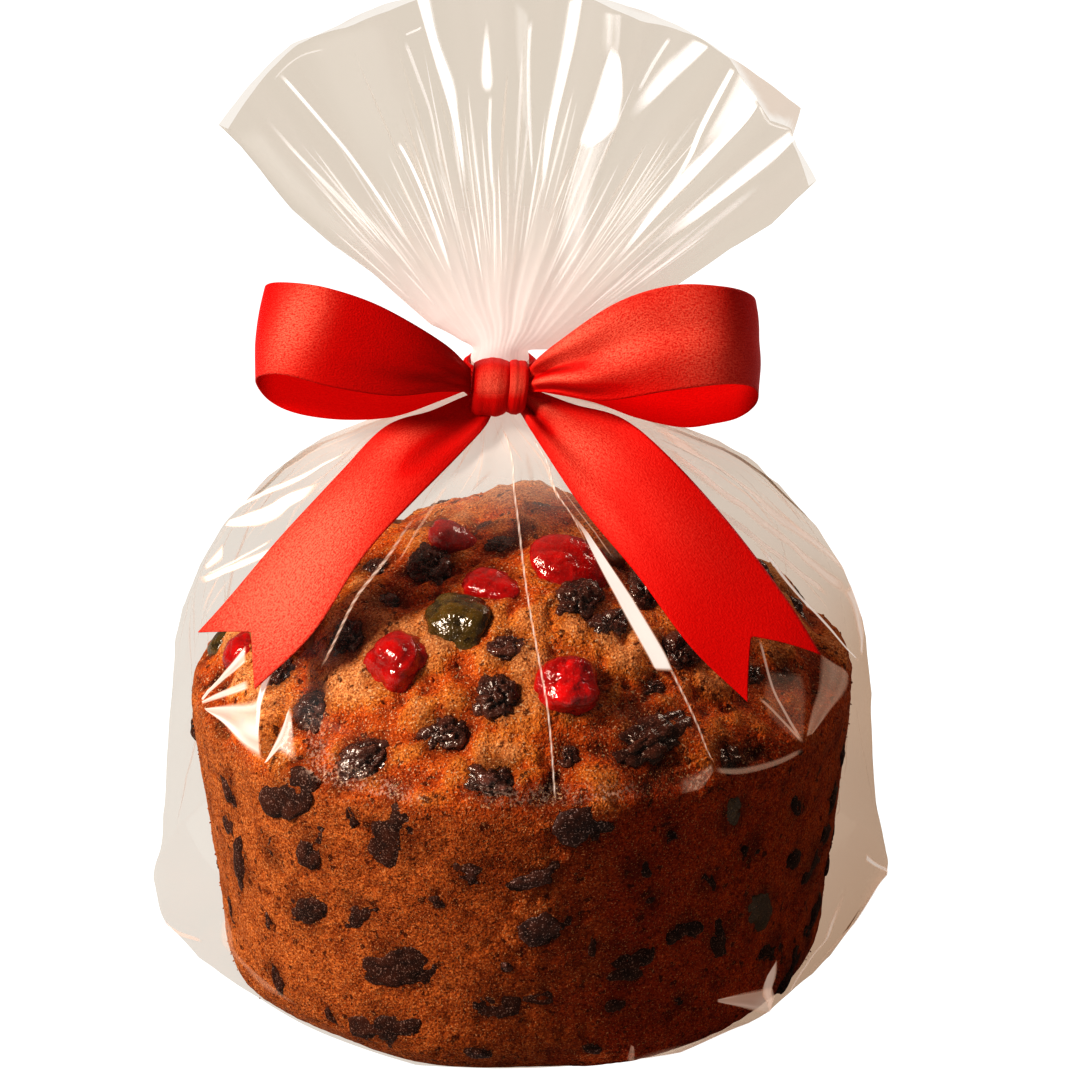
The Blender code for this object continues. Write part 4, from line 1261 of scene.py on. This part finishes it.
    def fan_surface(self, angle: Array, reach: Array, front: float = -1.0) -> tuple[Array, Array]:
        """One layer of the fan above the tie.

        A point lies at an angle from upright and a distance from the tie. The two layers bow
        apart in the middle and meet at the two side folds, and each is pleated by waves that
        run out from the tie and widen with it.

        Args:
            angle: angles from upright in degrees.
            reach: distances from the tie in millimetres.
            front: -1 for the front layer, 1 for the back one.

        Returns:
            Points in metres and directions away from the fan's middle.
        """
        share = np.clip((reach - 10.0) / (self.fan_length - 10.0), 0.0, 1.0)
        middle, spread = self._side_folds(reach)
        across = np.clip((angle - middle) / spread, -1.0, 1.0)
        bow = np.sqrt(np.maximum(1 - across ** 2, 0.0))
        neck = self.shape.neck_radius / MM
        depth = neck + (self.fan_depth - neck) * share ** 0.6
        phase = 1.7 if front > 0 else 0.0
        pleat = (1.3 * np.sin(15 * across + 1.5 * np.sin(4 * across + phase) + phase)
                 + 0.6 * np.abs(np.sin(31 * across + phase))) * share
        tight = 0.025 * np.sin(62 * across + phase) * np.exp(-((reach - 16) / 20.0) ** 2)
        depth = front * (depth + tight) * bow + pleat * smoothstep(bow, 0.0, 0.5)
        turn = np.radians(angle)
        points = np.stack((self.shape.neck_x + MM * reach * np.sin(turn), MM * depth,
                           self.shape.fan_origin + MM * reach * np.cos(turn)), axis=-1)
        outward = np.stack((0.25 * np.sin(turn), front + 0 * turn, 0 * turn), axis=-1)
        return points, unit(outward)

    def build_body(self, finish: bpy.types.Material) -> bpy.types.Object:
        """The skin: a closed grid from the middle of the base up to the neck."""
        heights = np.concatenate((np.linspace(0.3, 12, 10), np.linspace(14, 154, 130)))
        angle = np.arange(self.columns) * 360.0 / self.columns
        height_grid, angle_grid = np.meshgrid(heights, angle, indexing="ij")
        skin, _ = self.body_surface(angle_grid, height_grid)
        share = np.linspace(0.05, 0.96, 8)[:, None, None]
        base = skin[0][None] * np.concatenate((share, share, 0 * share + 1), axis=-1)
        base[..., 2] = 0.0003
        turn = np.radians(angle)
        neck_rows = np.linspace(self.shape.neck_low, self.shape.neck_high, 5)[:, None]
        ring = self.shape.neck_radius * (1 - 0.05 * np.abs(np.sin(14.5 * turn)))
        neck = np.stack((self.shape.neck_x + ring * np.cos(turn) + 0 * neck_rows,
                         ring * np.sin(turn) + 0 * neck_rows, neck_rows + 0 * turn), axis=-1)
        grid = np.concatenate((base, skin[:-1], neck))
        height = grid[..., 2]
        haze = 0.50 * smoothstep(height, 0.126, 0.154) ** 1.3 + 0.003
        # painted shade: the warm value darkens and browns the film's tint on the right side, less so higher up, and
        # adds a little near the neck
        right = 0.5 + 0.5 * np.cos(np.arctan2(grid[..., 1], grid[..., 0]) + 0.3)
        warm = np.clip(0.95 * right ** 3 * (1 - 0.7 * smoothstep(height, 0.085, 0.12))
                       + 0.12 * smoothstep(height, 0.10, 0.14), 0.0, 1.0)
        return build_piece("film_body", grid, grid_faces(len(grid), self.columns, wrap=True).tolist(),
                           finish, attributes={"haze": haze, "warm": warm})

    def build_fan(self, finish: bpy.types.Material) -> bpy.types.Object:
        """The fan: its front and back layers, joined along both side folds."""
        reach = np.concatenate((np.linspace(5.0, 30, 40), np.linspace(31.5, self.fan_length, 64)))
        reach = reach[:, None]
        middle, spread = self._side_folds(reach)
        layers, bands, doubled = [], [], []
        front_table = np.array(self.front_rim)
        for front, rim in ((-1.0, self.front_rim), (1.0, self.back_rim)):
            share = -front * np.linspace(-1.0, 1.0, 260)[None, :-1]
            angle = middle + spread * share
            table = np.array(rim)
            edge = np.interp(angle, table[:, 0], table[:, 1]) / self.fan_length
            distance = reach * (1 - (1 - edge) * (reach / self.fan_length) ** 3)
            layers.append(self.fan_surface(angle, distance, front)[0])
            field = np.stack((angle / 6.0, distance / 160.0, 0 * angle + 5 * front), axis=-1)
            bands.append(smoothstep(Noise(31).layered(field, 1.0), 0.05, 0.45))
            past = distance - np.interp(angle, front_table[:, 0], front_table[:, 1])
            doubled.append(0.8 * smoothstep(past, -1.0, 0.6) * (front > 0))
        grid = self._foot_of_fan(np.concatenate(layers, axis=1), reach)
        far = np.linalg.norm(grid - np.array((self.shape.neck_x, 0, self.shape.fan_origin)), axis=-1)
        # painted light and shade: bands of haze round the fan stand in for its fold planes catching more or less
        # light
        haze = (0.86 * (1 - smoothstep(far, 0.008, 0.066)) ** 1.2 + 0.005
                + 0.08 * np.concatenate(bands, axis=1))
        return build_piece("film_fan", grid, grid_faces(*grid.shape[:2], wrap=True).tolist(), finish,
                           attributes={"haze": haze, "warm": np.concatenate(doubled, axis=1)})

    def _foot_of_fan(self, grid: Array, reach: Array) -> Array:
        """The fan blended into the neck's ring, so that it rises out of the tie without a gap.

        Each column takes its own place round the ring; with growing distance from the tie its
        points move over from a tube standing on the ring to the fan.
        """
        half = grid.shape[1] // 2
        turn = -math.pi / 2 - math.pi * (np.arange(grid.shape[1]) - half / 2) / half
        ring = self.shape.neck_radius
        tube = np.stack((self.shape.neck_x - ring * np.sin(turn + math.pi / 2) + 0 * reach,
                         ring * np.sin(turn) + 0 * reach,
                         self.shape.neck_high + MM * 0.8 * (reach - reach[0]) + 0 * turn), axis=-1)
        share = smoothstep(reach, float(reach[0, 0]), 15.0)[..., None]
        return tube * (1 - share) + grid * share

    def _loose_hairs(self) -> tuple[list[tuple[Array, Array]], list[tuple[Array, Array]]]:
        """Fine painted highlights of creases strewn by chance: on the fan, and down the body's shoulders and back.
        """
        rng = np.random.default_rng(12)
        fan, body = [], []
        crowded = np.array((-39, -31, -21, -14, -9, -2, 5, 11, 18, 25, 33, 39, 47, 52))
        for _ in range(190):
            angle = rng.choice(crowded) + rng.normal(0, 1.8)
            if rng.uniform() < 0.35:
                angle = rng.uniform(-46, 54)
            inner = rng.uniform(22, 50)
            outer = inner + rng.uniform(12, 44)
            line = hair((angle + rng.uniform(-1.5, 1.5), outer), (angle, inner),
                        rng.uniform(0.35, 1.1), rng.uniform(0.10, 0.45))
            front = -1.0 if rng.uniform() < 0.7 else 1.0
            fan.append(line.strip(lambda a, r, f=front: self.fan_surface(a, r, f), 0.15 * MM, 16, 5))
        for _ in range(120):
            angle = rng.uniform(-180, 180)
            low = rng.uniform(100, 142)
            if -125 < angle < -52:
                low = rng.uniform(132, 146)
            line = hair((angle, min(153.0, low + rng.uniform(8, 30))),
                        (angle + rng.uniform(-6, 6), low),
                        rng.uniform(0.4, 1.6), rng.uniform(0.12, 0.5))
            body.append(line.strip(self.body_surface, 0.15 * MM, 18, 5))
        for _ in range(44):
            angle = rng.uniform(8, 172)
            low = rng.uniform(8, 80)
            slant = rng.uniform(-14, 14)
            line = hair((angle, low + rng.uniform(22, 58)), (angle + slant, low),
                        rng.uniform(0.5, 1.7), rng.uniform(0.12, 0.42))
            body.append(line.strip(self.body_surface, 0.15 * MM, 24, 5))
        return fan, body

    def build_painted_highlights(self) -> list[bpy.types.Object]:
        """Painted highlights where folds catch the light, on the body and on the fan."""
        fan_hairs, body_hairs = self._loose_hairs()
        on_body = [gleam.strip(self.body_surface, 0.25 * MM) for gleam in BODY_GLEAMS] + body_hairs
        on_fan = [gleam.strip(self.fan_surface, 0.3 * MM) for gleam in FAN_GLEAMS] + fan_hairs
        # painted highlights: white strips over the film where its folds catch the light
        looks = {"film_painted_highlights": (on_body, PaintedHighlightFinish("film_painted_highlight", 0.42, (0.86, 0.54, 0.38),
                                                          (0.88, 0.80, 0.73))),
                 "fan_painted_highlights": (on_fan, PaintedHighlightFinish("fan_painted_highlight"))}
        pieces = []
        for name, (grids, finish) in looks.items():
            points, faces, gleam = join_grids(grids)
            points[:, 2] = np.maximum(points[:, 2], 0.0004)
            pieces.append(build_piece(name, points, faces, finish.build(),
                                      attributes={"gleam": gleam[:, 0], "grain": gleam[:, 1]}))
        return pieces

    def build(self) -> list[bpy.types.Object]:
        """Build the skin, the fan and the creases."""
        body = self.build_body(FilmFinish("film_clear", (0.832, 0.802, 0.765)).build())
        fan = self.build_fan(FilmFinish("film_fan", (0.790, 0.745, 0.690), milk=(0.88, 0.79, 0.74)).build())
        return [body, fan, *self.build_painted_highlights()]


# ---------------------------------------------------------------- bow

@dataclass(frozen=True)
class RibbonRun:
    """A stretch of ribbon: its two edges in millimetres, from the knot outwards.

    crown is how far its middle stands up towards face, and each fold is a place across from 0
    to 1, a height in millimetres, a spread across, and the length in which it dies out. Each
    spot of sheen is a place along and a place across, a spread each way, all as shares, and a
    strength. The ribbon glows from the share glow_from on, where its inside shows.
    """

    name: str
    node: str
    first: tuple[tuple[float, float, float], ...]
    second: tuple[tuple[float, float, float], ...]
    notch: float = 0.0
    crown: float = 0.9
    face: float = 1.0
    folds: tuple[tuple[float, float, float, float], ...] = ()
    sheen: tuple[tuple[float, float, float, float, float], ...] = ()
    glow_from: float = 1.0


RIBBONS = (
    RibbonRun(
        "ribbon_loop_left", "bow_loop_left",
        ((-11.9, -15.0, 166.2), (-18.7, -19.0, 174.5), (-32.8, -22.0, 184.5), (-45.8, -22.5, 189.5),
         (-55.5, -20.0, 190.2), (-60.5, -15.5, 188.2), (-61.0, -11.0, 184.0), (-58.0, -7.8, 179.5),
         (-52.0, -6.8, 176.2), (-42.0, -6.5, 174.4), (-31.0, -7.5, 172.5), (-20.5, -9.2, 168.0),
         (-11.9, -11.0, 165.0)),
        ((-11.9, -16.0, 160.5), (-19.2, -21.0, 162.4), (-30.8, -25.0, 162.8), (-45.1, -26.0, 165.5),
         (-56.7, -24.0, 168.0), (-63.4, -18.0, 165.2), (-64.2, -12.0, 160.3), (-60.8, -8.2, 154.8),
         (-53.5, -7.2, 151.3), (-42.5, -6.8, 149.6), (-30.9, -8.0, 150.9), (-19.5, -9.5, 155.7),
         (-11.9, -11.0, 159.5)),
        folds=((0.25, 1.0, 0.13, 15.0), (0.62, 0.9, 0.12, 22.0), (0.88, 0.6, 0.08, 12.0)),
        sheen=((0.385, 0.25, 0.040, 0.40, 0.85), (0.40, 0.75, 0.045, 0.40, 0.45),
               (0.14, 0.70, 0.08, 0.15, -0.40)), glow_from=0.52),
    RibbonRun(
        "ribbon_loop_right", "bow_loop_right",
        ((2.3, -15.0, 166.2), (9.0, -19.0, 174.0), (23.0, -22.0, 185.4), (36.7, -23.0, 190.4),
         (49.0, -21.5, 189.8), (55.6, -16.5, 186.0), (57.0, -11.5, 181.0), (53.6, -8.0, 176.8),
         (47.5, -7.0, 174.2), (38.5, -6.8, 172.6), (28.0, -7.5, 171.2), (15.0, -9.2, 168.0),
         (2.3, -11.0, 165.0)),
        ((2.3, -16.0, 160.5), (9.0, -21.0, 162.1), (20.6, -25.0, 161.5), (36.8, -27.0, 165.0),
         (50.0, -25.0, 165.9), (57.4, -19.0, 162.6), (58.6, -12.5, 156.6), (54.6, -8.8, 151.4),
         (48.0, -7.6, 149.0), (40.0, -7.2, 147.8), (29.0, -8.0, 150.6), (17.4, -9.5, 155.7),
         (2.3, -11.0, 159.5)),
        face=-1.0,
        folds=((0.14, 1.9, 0.12, 22.0), (0.42, -1.9, 0.11, 26.0), (0.68, 2.0, 0.13, 24.0),
               (0.93, -0.9, 0.07, 16.0)),
        sheen=((0.22, 0.38, 0.070, 0.32, 0.90), (0.36, 0.50, 0.070, 0.70, 0.60),
               (0.12, 0.12, 0.07, 0.12, 0.90), (0.08, 0.34, 0.06, 0.09, 0.80),
               (0.08, 0.66, 0.07, 0.07, 0.90), (0.07, 0.50, 0.05, 0.05, -0.9),
               (0.10, 0.86, 0.07, 0.07, -0.7)), glow_from=0.54),
    RibbonRun(
        "ribbon_tail_left", "bow_tail_left",
        ((-7.0, -11.8, 160.0), (-10.8, -12.4, 159.0), (-15.0, -13.0, 157.4), (-21.8, -13.5, 154.4),
         (-32.9, -14.5, 150.7), (-44.0, -18.0, 140.3), (-56.2, -23.0, 127.5), (-67.8, -27.0, 114.8),
         (-79.4, -27.0, 101.5)),
        ((-5.5, -12.4, 158.0), (-6.6, -14.4, 154.8), (-8.6, -18.0, 151.8), (-14.0, -21.0, 146.7),
         (-25.4, -29.0, 137.2), (-38.6, -39.0, 125.0), (-50.7, -47.0, 109.1),
         (-63.9, -50.0, 95.9)),
        notch=10.0, crown=1.3,
        folds=((0.30, 0.9, 0.14, 18.0), (0.62, -0.8, 0.12, 22.0), (0.88, 0.8, 0.10, 16.0)),
        sheen=((0.62, 0.45, 0.22, 0.55, 0.75), (0.90, 0.50, 0.20, 0.60, 0.75),
               (0.30, 0.30, 0.08, 0.15, 0.35), (0.26, 0.62, 0.10, 0.12, -0.45))),
    RibbonRun(
        "ribbon_tail_right", "bow_tail_right",
        ((-2.6, -12.4, 157.6), (0.9, -15.0, 153.9), (2.8, -18.0, 151.4), (6.3, -21.0, 146.7),
         (16.1, -32.0, 135.3), (28.1, -43.0, 124.0), (41.3, -54.0, 109.2), (55.3, -59.0, 96.6)),
        ((-2.4, -11.8, 161.0), (3.0, -12.5, 160.0), (8.0, -13.5, 158.4), (13.7, -14.5, 156.6),
         (25.1, -18.0, 154.4), (36.2, -27.0, 148.0), (51.2, -38.0, 134.5), (64.4, -47.0, 119.1),
         (73.0, -53.0, 106.4)),
        notch=13.0, crown=1.3,
        folds=((0.16, 1.5, 0.10, 20.0), (0.34, -1.3, 0.09, 18.0), (0.62, 1.0, 0.13, 22.0),
               (0.86, -0.6, 0.08, 14.0)),
        sheen=((0.26, 0.45, 0.12, 0.30, 0.60), (0.12, 0.66, 0.06, 0.10, 0.50),
               (0.12, 0.34, 0.06, 0.08, -0.7), (0.40, 0.15, 0.12, 0.12, 0.25),
               (0.60, 0.60, 0.20, 0.30, 0.10))),
)


@dataclass
class Bow:
    """The satin bow: a turn round the neck, a wrapped knot, two loops and two notched tails."""

    width: float = 0.025
    thickness: float = 0.00035
    rows: int = 220
    columns: int = 40

    def _strip(self, run: RibbonRun) -> tuple[Array, Array, float]:
        """The ribbon's middle surface.

        A point is a blend of the two edges, raised across by a shallow crown and, close to the
        knot, by its folds, which die out along the ribbon. A notched end is drawn back towards
        its middle in a V.

        Args:
            run: the stretch of ribbon.

        Returns:
            A grid of points, its surface coordinates in metres, and its length.
        """
        first = MM * smooth_curve(run.first, self.rows)
        second = MM * smooth_curve(run.second, self.rows)
        middle = (first + second) / 2
        length = np.append(0.0, np.cumsum(np.linalg.norm(np.diff(middle, axis=0), axis=1)))
        across = np.linspace(0.0, 1.0, self.columns)[None, :]
        along = length[:, None] + 0 * across
        if run.notch > 0.0:
            cut = MM * run.notch * (1 - np.abs(2 * across - 1))
            along = length[:, None] * (length[-1] - cut) / length[-1]
        sides = [np.stack([np.interp(along, length, edge[:, k]) for k in range(3)], axis=-1)
                 for edge in (first, second)]
        grid = sides[0] * (1 - across[..., None]) + sides[1] * across[..., None]
        forward = np.gradient(grid, axis=0)
        over = np.gradient(grid, axis=1)
        normal = unit(np.cross(forward, over))
        far = length[-1] - along if run.notch == 0.0 else 0 * along + 1.0
        near = np.minimum(along, far)
        open_share = smoothstep(near, 0.0, 0.028)
        height = run.crown * np.sin(math.pi * across) * open_share
        for place, rise, spread, fade in run.folds:
            height = height + rise * np.exp(-((across - place) / spread) ** 2) * np.exp(
                -near / (MM * fade)) * smoothstep(near, 0.0, 0.005)
        drift = 0.45 * np.sin(along * 120.0 + 2.6 * across) * open_share
        grid = grid + normal * (run.face * MM * (height + drift))[..., None]
        uv = np.stack((along, self.width * across + 0 * along), axis=-1)
        return grid, uv, float(length[-1])

    def _shine(self, run: RibbonRun) -> dict[str, Array]:
        """The sheen of each point, a sum of soft spots, and the glow of the loop's inside."""
        along = np.linspace(0.0, 1.0, self.rows)[:, None]
        across = np.linspace(0.0, 1.0, self.columns)[None, :]
        sheen = sum(strength * np.exp(-((along - place) / far) ** 2 - ((across - side) / wide) ** 2)
                    for place, side, far, wide, strength in run.sheen)
        inside = smoothstep(along, run.glow_from, run.glow_from + 0.08) * (run.glow_from < 1.0)
        glow = 0.9 * inside + 0.35 * np.maximum(sheen, 0.0) * (run.glow_from < 1.0) + 0 * across
        return {"sheen": np.clip(sheen, -1.0, 1.0), "glow": glow}

    def build_run(self, run: RibbonRun, finish: bpy.types.Material) -> bpy.types.Object:
        """One stretch of ribbon with its thickness, standing for its node."""
        grid, uv, length = self._strip(run)
        piece = build_piece(run.name, grid, grid_faces(self.rows, self.columns).tolist(), finish,
                            uv=uv, attributes=self._shine(run))
        self._thicken(piece)
        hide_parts(run.node)
        return piece

    def _thicken(self, piece: bpy.types.Object) -> None:
        """Give a strip the ribbon's thickness, half to each side."""
        wall = piece.modifiers.new("thickness", "SOLIDIFY")
        wall.thickness = self.thickness
        wall.offset = 0.0

    def build_knot(self, finish: bpy.types.Material) -> bpy.types.Object:
        """The knot: two turns of gathered ribbon side by side, wrapped round a rounded core.

        Each turn is a tube of barrel sections: at turn angle a and share s across, the radius is
        a rounded oblong's, swollen in the middle of the turn and grooved by pleats.
        """
        low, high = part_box("bow_knot")
        middle = np.array((low + high) / 2)
        half_y, half_z = (high.y - low.y) / 2, (high.z - low.z) / 2
        grids, uvs, sheens, faces, first = [], [], [], [], 0
        turns = 160
        across_count = 34
        width = high.x - low.x
        angle = np.arange(turns) * 2 * math.pi / turns
        for left, right, swell, phase in ((-0.02, 0.69, 1.03, 0.3), (0.62, 1.02, 0.96, 1.6)):
            share = np.linspace(0.0, 1.0, across_count)[None, :]
            turn = angle[:, None]
            oblong = (np.abs(np.cos(turn) / half_y) ** 3.2
                      + np.abs(np.sin(turn) / half_z) ** 3.2) ** (-1 / 3.2)
            barrel = swell * (1 - 0.20 * np.abs(2 * share - 1) ** 4)
            pleat = 0.022 * np.sin(2 * math.pi * (1.6 * share + phase) + 0.9 * np.sin(turn))
            fine = 0.006 * np.sin(2 * math.pi * (4.3 * share + phase) + 1.3 * np.cos(turn + phase))
            radius = oblong * (barrel + pleat + fine)
            slant = 0.0006 * np.sin(turn + 0.5)
            x = low.x + width * (left + (right - left) * share) + slant
            grid = np.stack((x + 0 * radius, middle[1] - radius * np.cos(turn),
                             middle[2] + radius * np.sin(turn)), axis=-1)
            grid = np.concatenate((grid, grid[:1]))
            closed = np.append(angle, 2 * math.pi)[:, None]
            uvs.append(np.stack((closed * 0.006 + 0 * share,
                                 self.width * share + 0 * closed), axis=-1).reshape(-1, 2))
            above = np.mod(closed - 0.45 + math.pi, 2 * math.pi) - math.pi
            lit = 0.85 * np.exp(-(above / 0.55) ** 2) - 0.35 * np.exp(-((above + 1.3) / 0.5) ** 2)
            sheens.append((lit * (1 - np.abs(2 * share - 0.9) ** 2) - 0.6 * np.abs(2 * share - 1) ** 10).ravel())
            grids.append(grid.reshape(-1, 3))
            faces += (grid_faces(turns + 1, across_count)[:, ::-1] + first).tolist()
            first += (turns + 1) * across_count
        sheen = np.clip(np.concatenate(sheens), -1.0, 1.0)
        knot = build_piece("ribbon_knot", np.vstack(grids), faces, finish,
                           uv=np.vstack(uvs), attributes={"sheen": sheen, "glow": 0 * sheen + 0.12})
        self._thicken(knot)
        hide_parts("bow_knot")
        return knot

    def build_band(self, finish: bpy.types.Material) -> bpy.types.Object:
        """The turn round the neck: a gathered collar of ribbon.

        At turn angle a and share s of its height, the radius is the collar's, rippled by
        pleats that run round it.
        """
        low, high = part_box("bow_band")
        centre_x = (low.x + high.x) / 2
        radius = (high.x - low.x) / 2 - 0.0005
        turn = np.linspace(0.0, 2 * math.pi, 161)[:, None]
        share = np.linspace(0.0, 1.0, 100)[None, :]
        drift = 1.5 * np.sin(turn) + 0.9 * np.sin(3 * turn + 1.0 + 2.0 * share)
        ripple = 0.00062 * np.sin(2 * math.pi * 7.0 * share + drift)
        ring = radius - 0.00012 + ripple
        grid = np.stack((centre_x + ring * np.cos(turn), ring * np.sin(turn),
                         low.z + (high.z - low.z) * share + 0 * turn), axis=-1)
        uv = np.stack((turn * radius + 0 * share, self.width * share + 0 * turn), axis=-1)
        band = build_piece("ribbon_band", grid, grid_faces(161, 100).tolist(), finish, uv=uv)
        self._thicken(band)
        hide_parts("bow_band")
        return band

    def build(self) -> list[bpy.types.Object]:
        """Build the band, the knot, the loops and the tails in one satin."""
        satin = SatinFinish().build()
        pieces = [self.build_band(satin), self.build_knot(satin)]
        pieces += [self.build_run(run, satin) for run in RIBBONS]
        return pieces


# ---------------------------------------------------------------- studio

@dataclass(frozen=True)
class Softbox:
    """A square area light: where it stands, what it aims at, its side, power and colour."""

    name: str
    place: tuple[float, float, float]
    side: float
    power: float
    colour: tuple[float, float, float] = (1.0, 1.0, 1.0)
    aim: tuple[float, float, float] = (0.0, 0.0, 0.09)


@dataclass(frozen=True)
class Studio:
    """A pale floor, soft lights and the camera."""

    distance: float = 1.4
    rise: float = math.radians(22.0)
    target: tuple[float, float, float] = (0.0051, 0.0, 0.115)
    lens: float = 186.7
    sky_light: float = 0.11
    sky_seen: float = 1.05
    boxes: tuple[Softbox, ...] = (
        Softbox("key", (-1.16, -0.50, 1.0), 0.36, 36.0, (1.0, 0.97, 0.93)),
        Softbox("fill", (1.0, -1.2, 0.5), 0.8, 0.5),
        Softbox("rim", (0.75, 0.85, 1.00), 0.40, 8.0),
    )

    def _aim(self, obj: bpy.types.Object, target: Sequence[float]) -> None:
        """Turn an object's -Z towards a point."""
        from mathutils import Vector
        direction = Vector(target) - obj.location
        obj.rotation_euler = direction.to_track_quat("-Z", "Y").to_euler()

    def build_floor(self) -> None:
        """A wide pale floor that shows nearly white."""
        t = NodeTree("studio_floor")
        paper = t.add("BsdfDiffuse", {"Color": (0.45, 0.44, 0.43, 1.0)})
        lit = t.add("Emission", {"Color": (1.0, 1.0, 1.0, 1.0), "Strength": 1.12})
        seen = t.add("LightPath").outputs["Is Camera Ray"]
        glow = t.add("MixShader", {"Fac": t.maths("MULTIPLY", seen, 0.84), 1: paper.outputs[0],
                                   2: lit.outputs[0]})
        material = t.finish(glow.outputs[0])
        side = 6.0
        corners = np.array([(-side, -side, 0), (side, -side, 0), (side, side, 0), (-side, side, 0)])
        mesh = bpy.data.meshes.new("floor")
        mesh.from_pydata(corners, [], [(0, 1, 2, 3)])
        mesh.materials.append(material)
        floor = bpy.data.objects.new("floor", mesh)
        bpy.context.scene.collection.objects.link(floor)

    def build_lights(self) -> None:
        """The softboxes, and an even sky that lights dimly and shows nearly white."""
        for box in self.boxes:
            data = bpy.data.lights.new(box.name, "AREA")
            data.size = box.side
            data.energy = box.power
            data.color = box.colour
            light = bpy.data.objects.new(box.name, data)
            light.location = box.place
            self._aim(light, box.aim)
            bpy.context.scene.collection.objects.link(light)
        world = bpy.data.worlds.new("studio_sky")
        world.use_nodes = True
        sky = world.node_tree.nodes["Background"]
        sky.inputs["Color"].default_value = (1.0, 0.98, 0.96, 1.0)
        path = world.node_tree.nodes.new("ShaderNodeLightPath")
        level = world.node_tree.nodes.new("ShaderNodeMapRange")
        level.inputs["To Min"].default_value = self.sky_light
        level.inputs["To Max"].default_value = self.sky_seen
        world.node_tree.links.new(path.outputs["Is Camera Ray"], level.inputs["Value"])
        world.node_tree.links.new(level.outputs["Result"], sky.inputs["Strength"])
        bpy.context.scene.world = world

    def build_camera(self) -> None:
        """The camera, looking down a little from the front."""
        data = bpy.data.cameras.new("camera")
        data.lens = self.lens
        data.sensor_width = 36.0
        data.clip_end = 50.0
        camera = bpy.data.objects.new("camera", data)
        x, y, z = self.target
        camera.location = (x, y - self.distance * math.cos(self.rise),
                           z + self.distance * math.sin(self.rise))
        self._aim(camera, self.target)
        bpy.context.scene.collection.objects.link(camera)
        bpy.context.scene.camera = camera

    def build(self) -> None:
        """Build the stage and set how colours are shown."""
        self.build_floor()
        self.build_lights()
        self.build_camera()
        scene = bpy.context.scene
        scene.view_settings.view_transform = "Standard"
        scene.view_settings.look = "Medium High Contrast"
        scene.cycles.transparent_max_bounces = 32


def main() -> None:
    """Build the stage, the cake, the film and the bow, and report each piece."""
    logging.basicConfig(level=logging.INFO, format="%(message)s")
    Studio().build()
    pieces = Cake().build()
    pieces += Film(BagShape.from_model()).build()
    for piece in pieces:
        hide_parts("bag")
    pieces += Bow().build()
    for piece in pieces:
        LOG.info("built %s", piece.name)


if __name__ == "__main__":
    main()
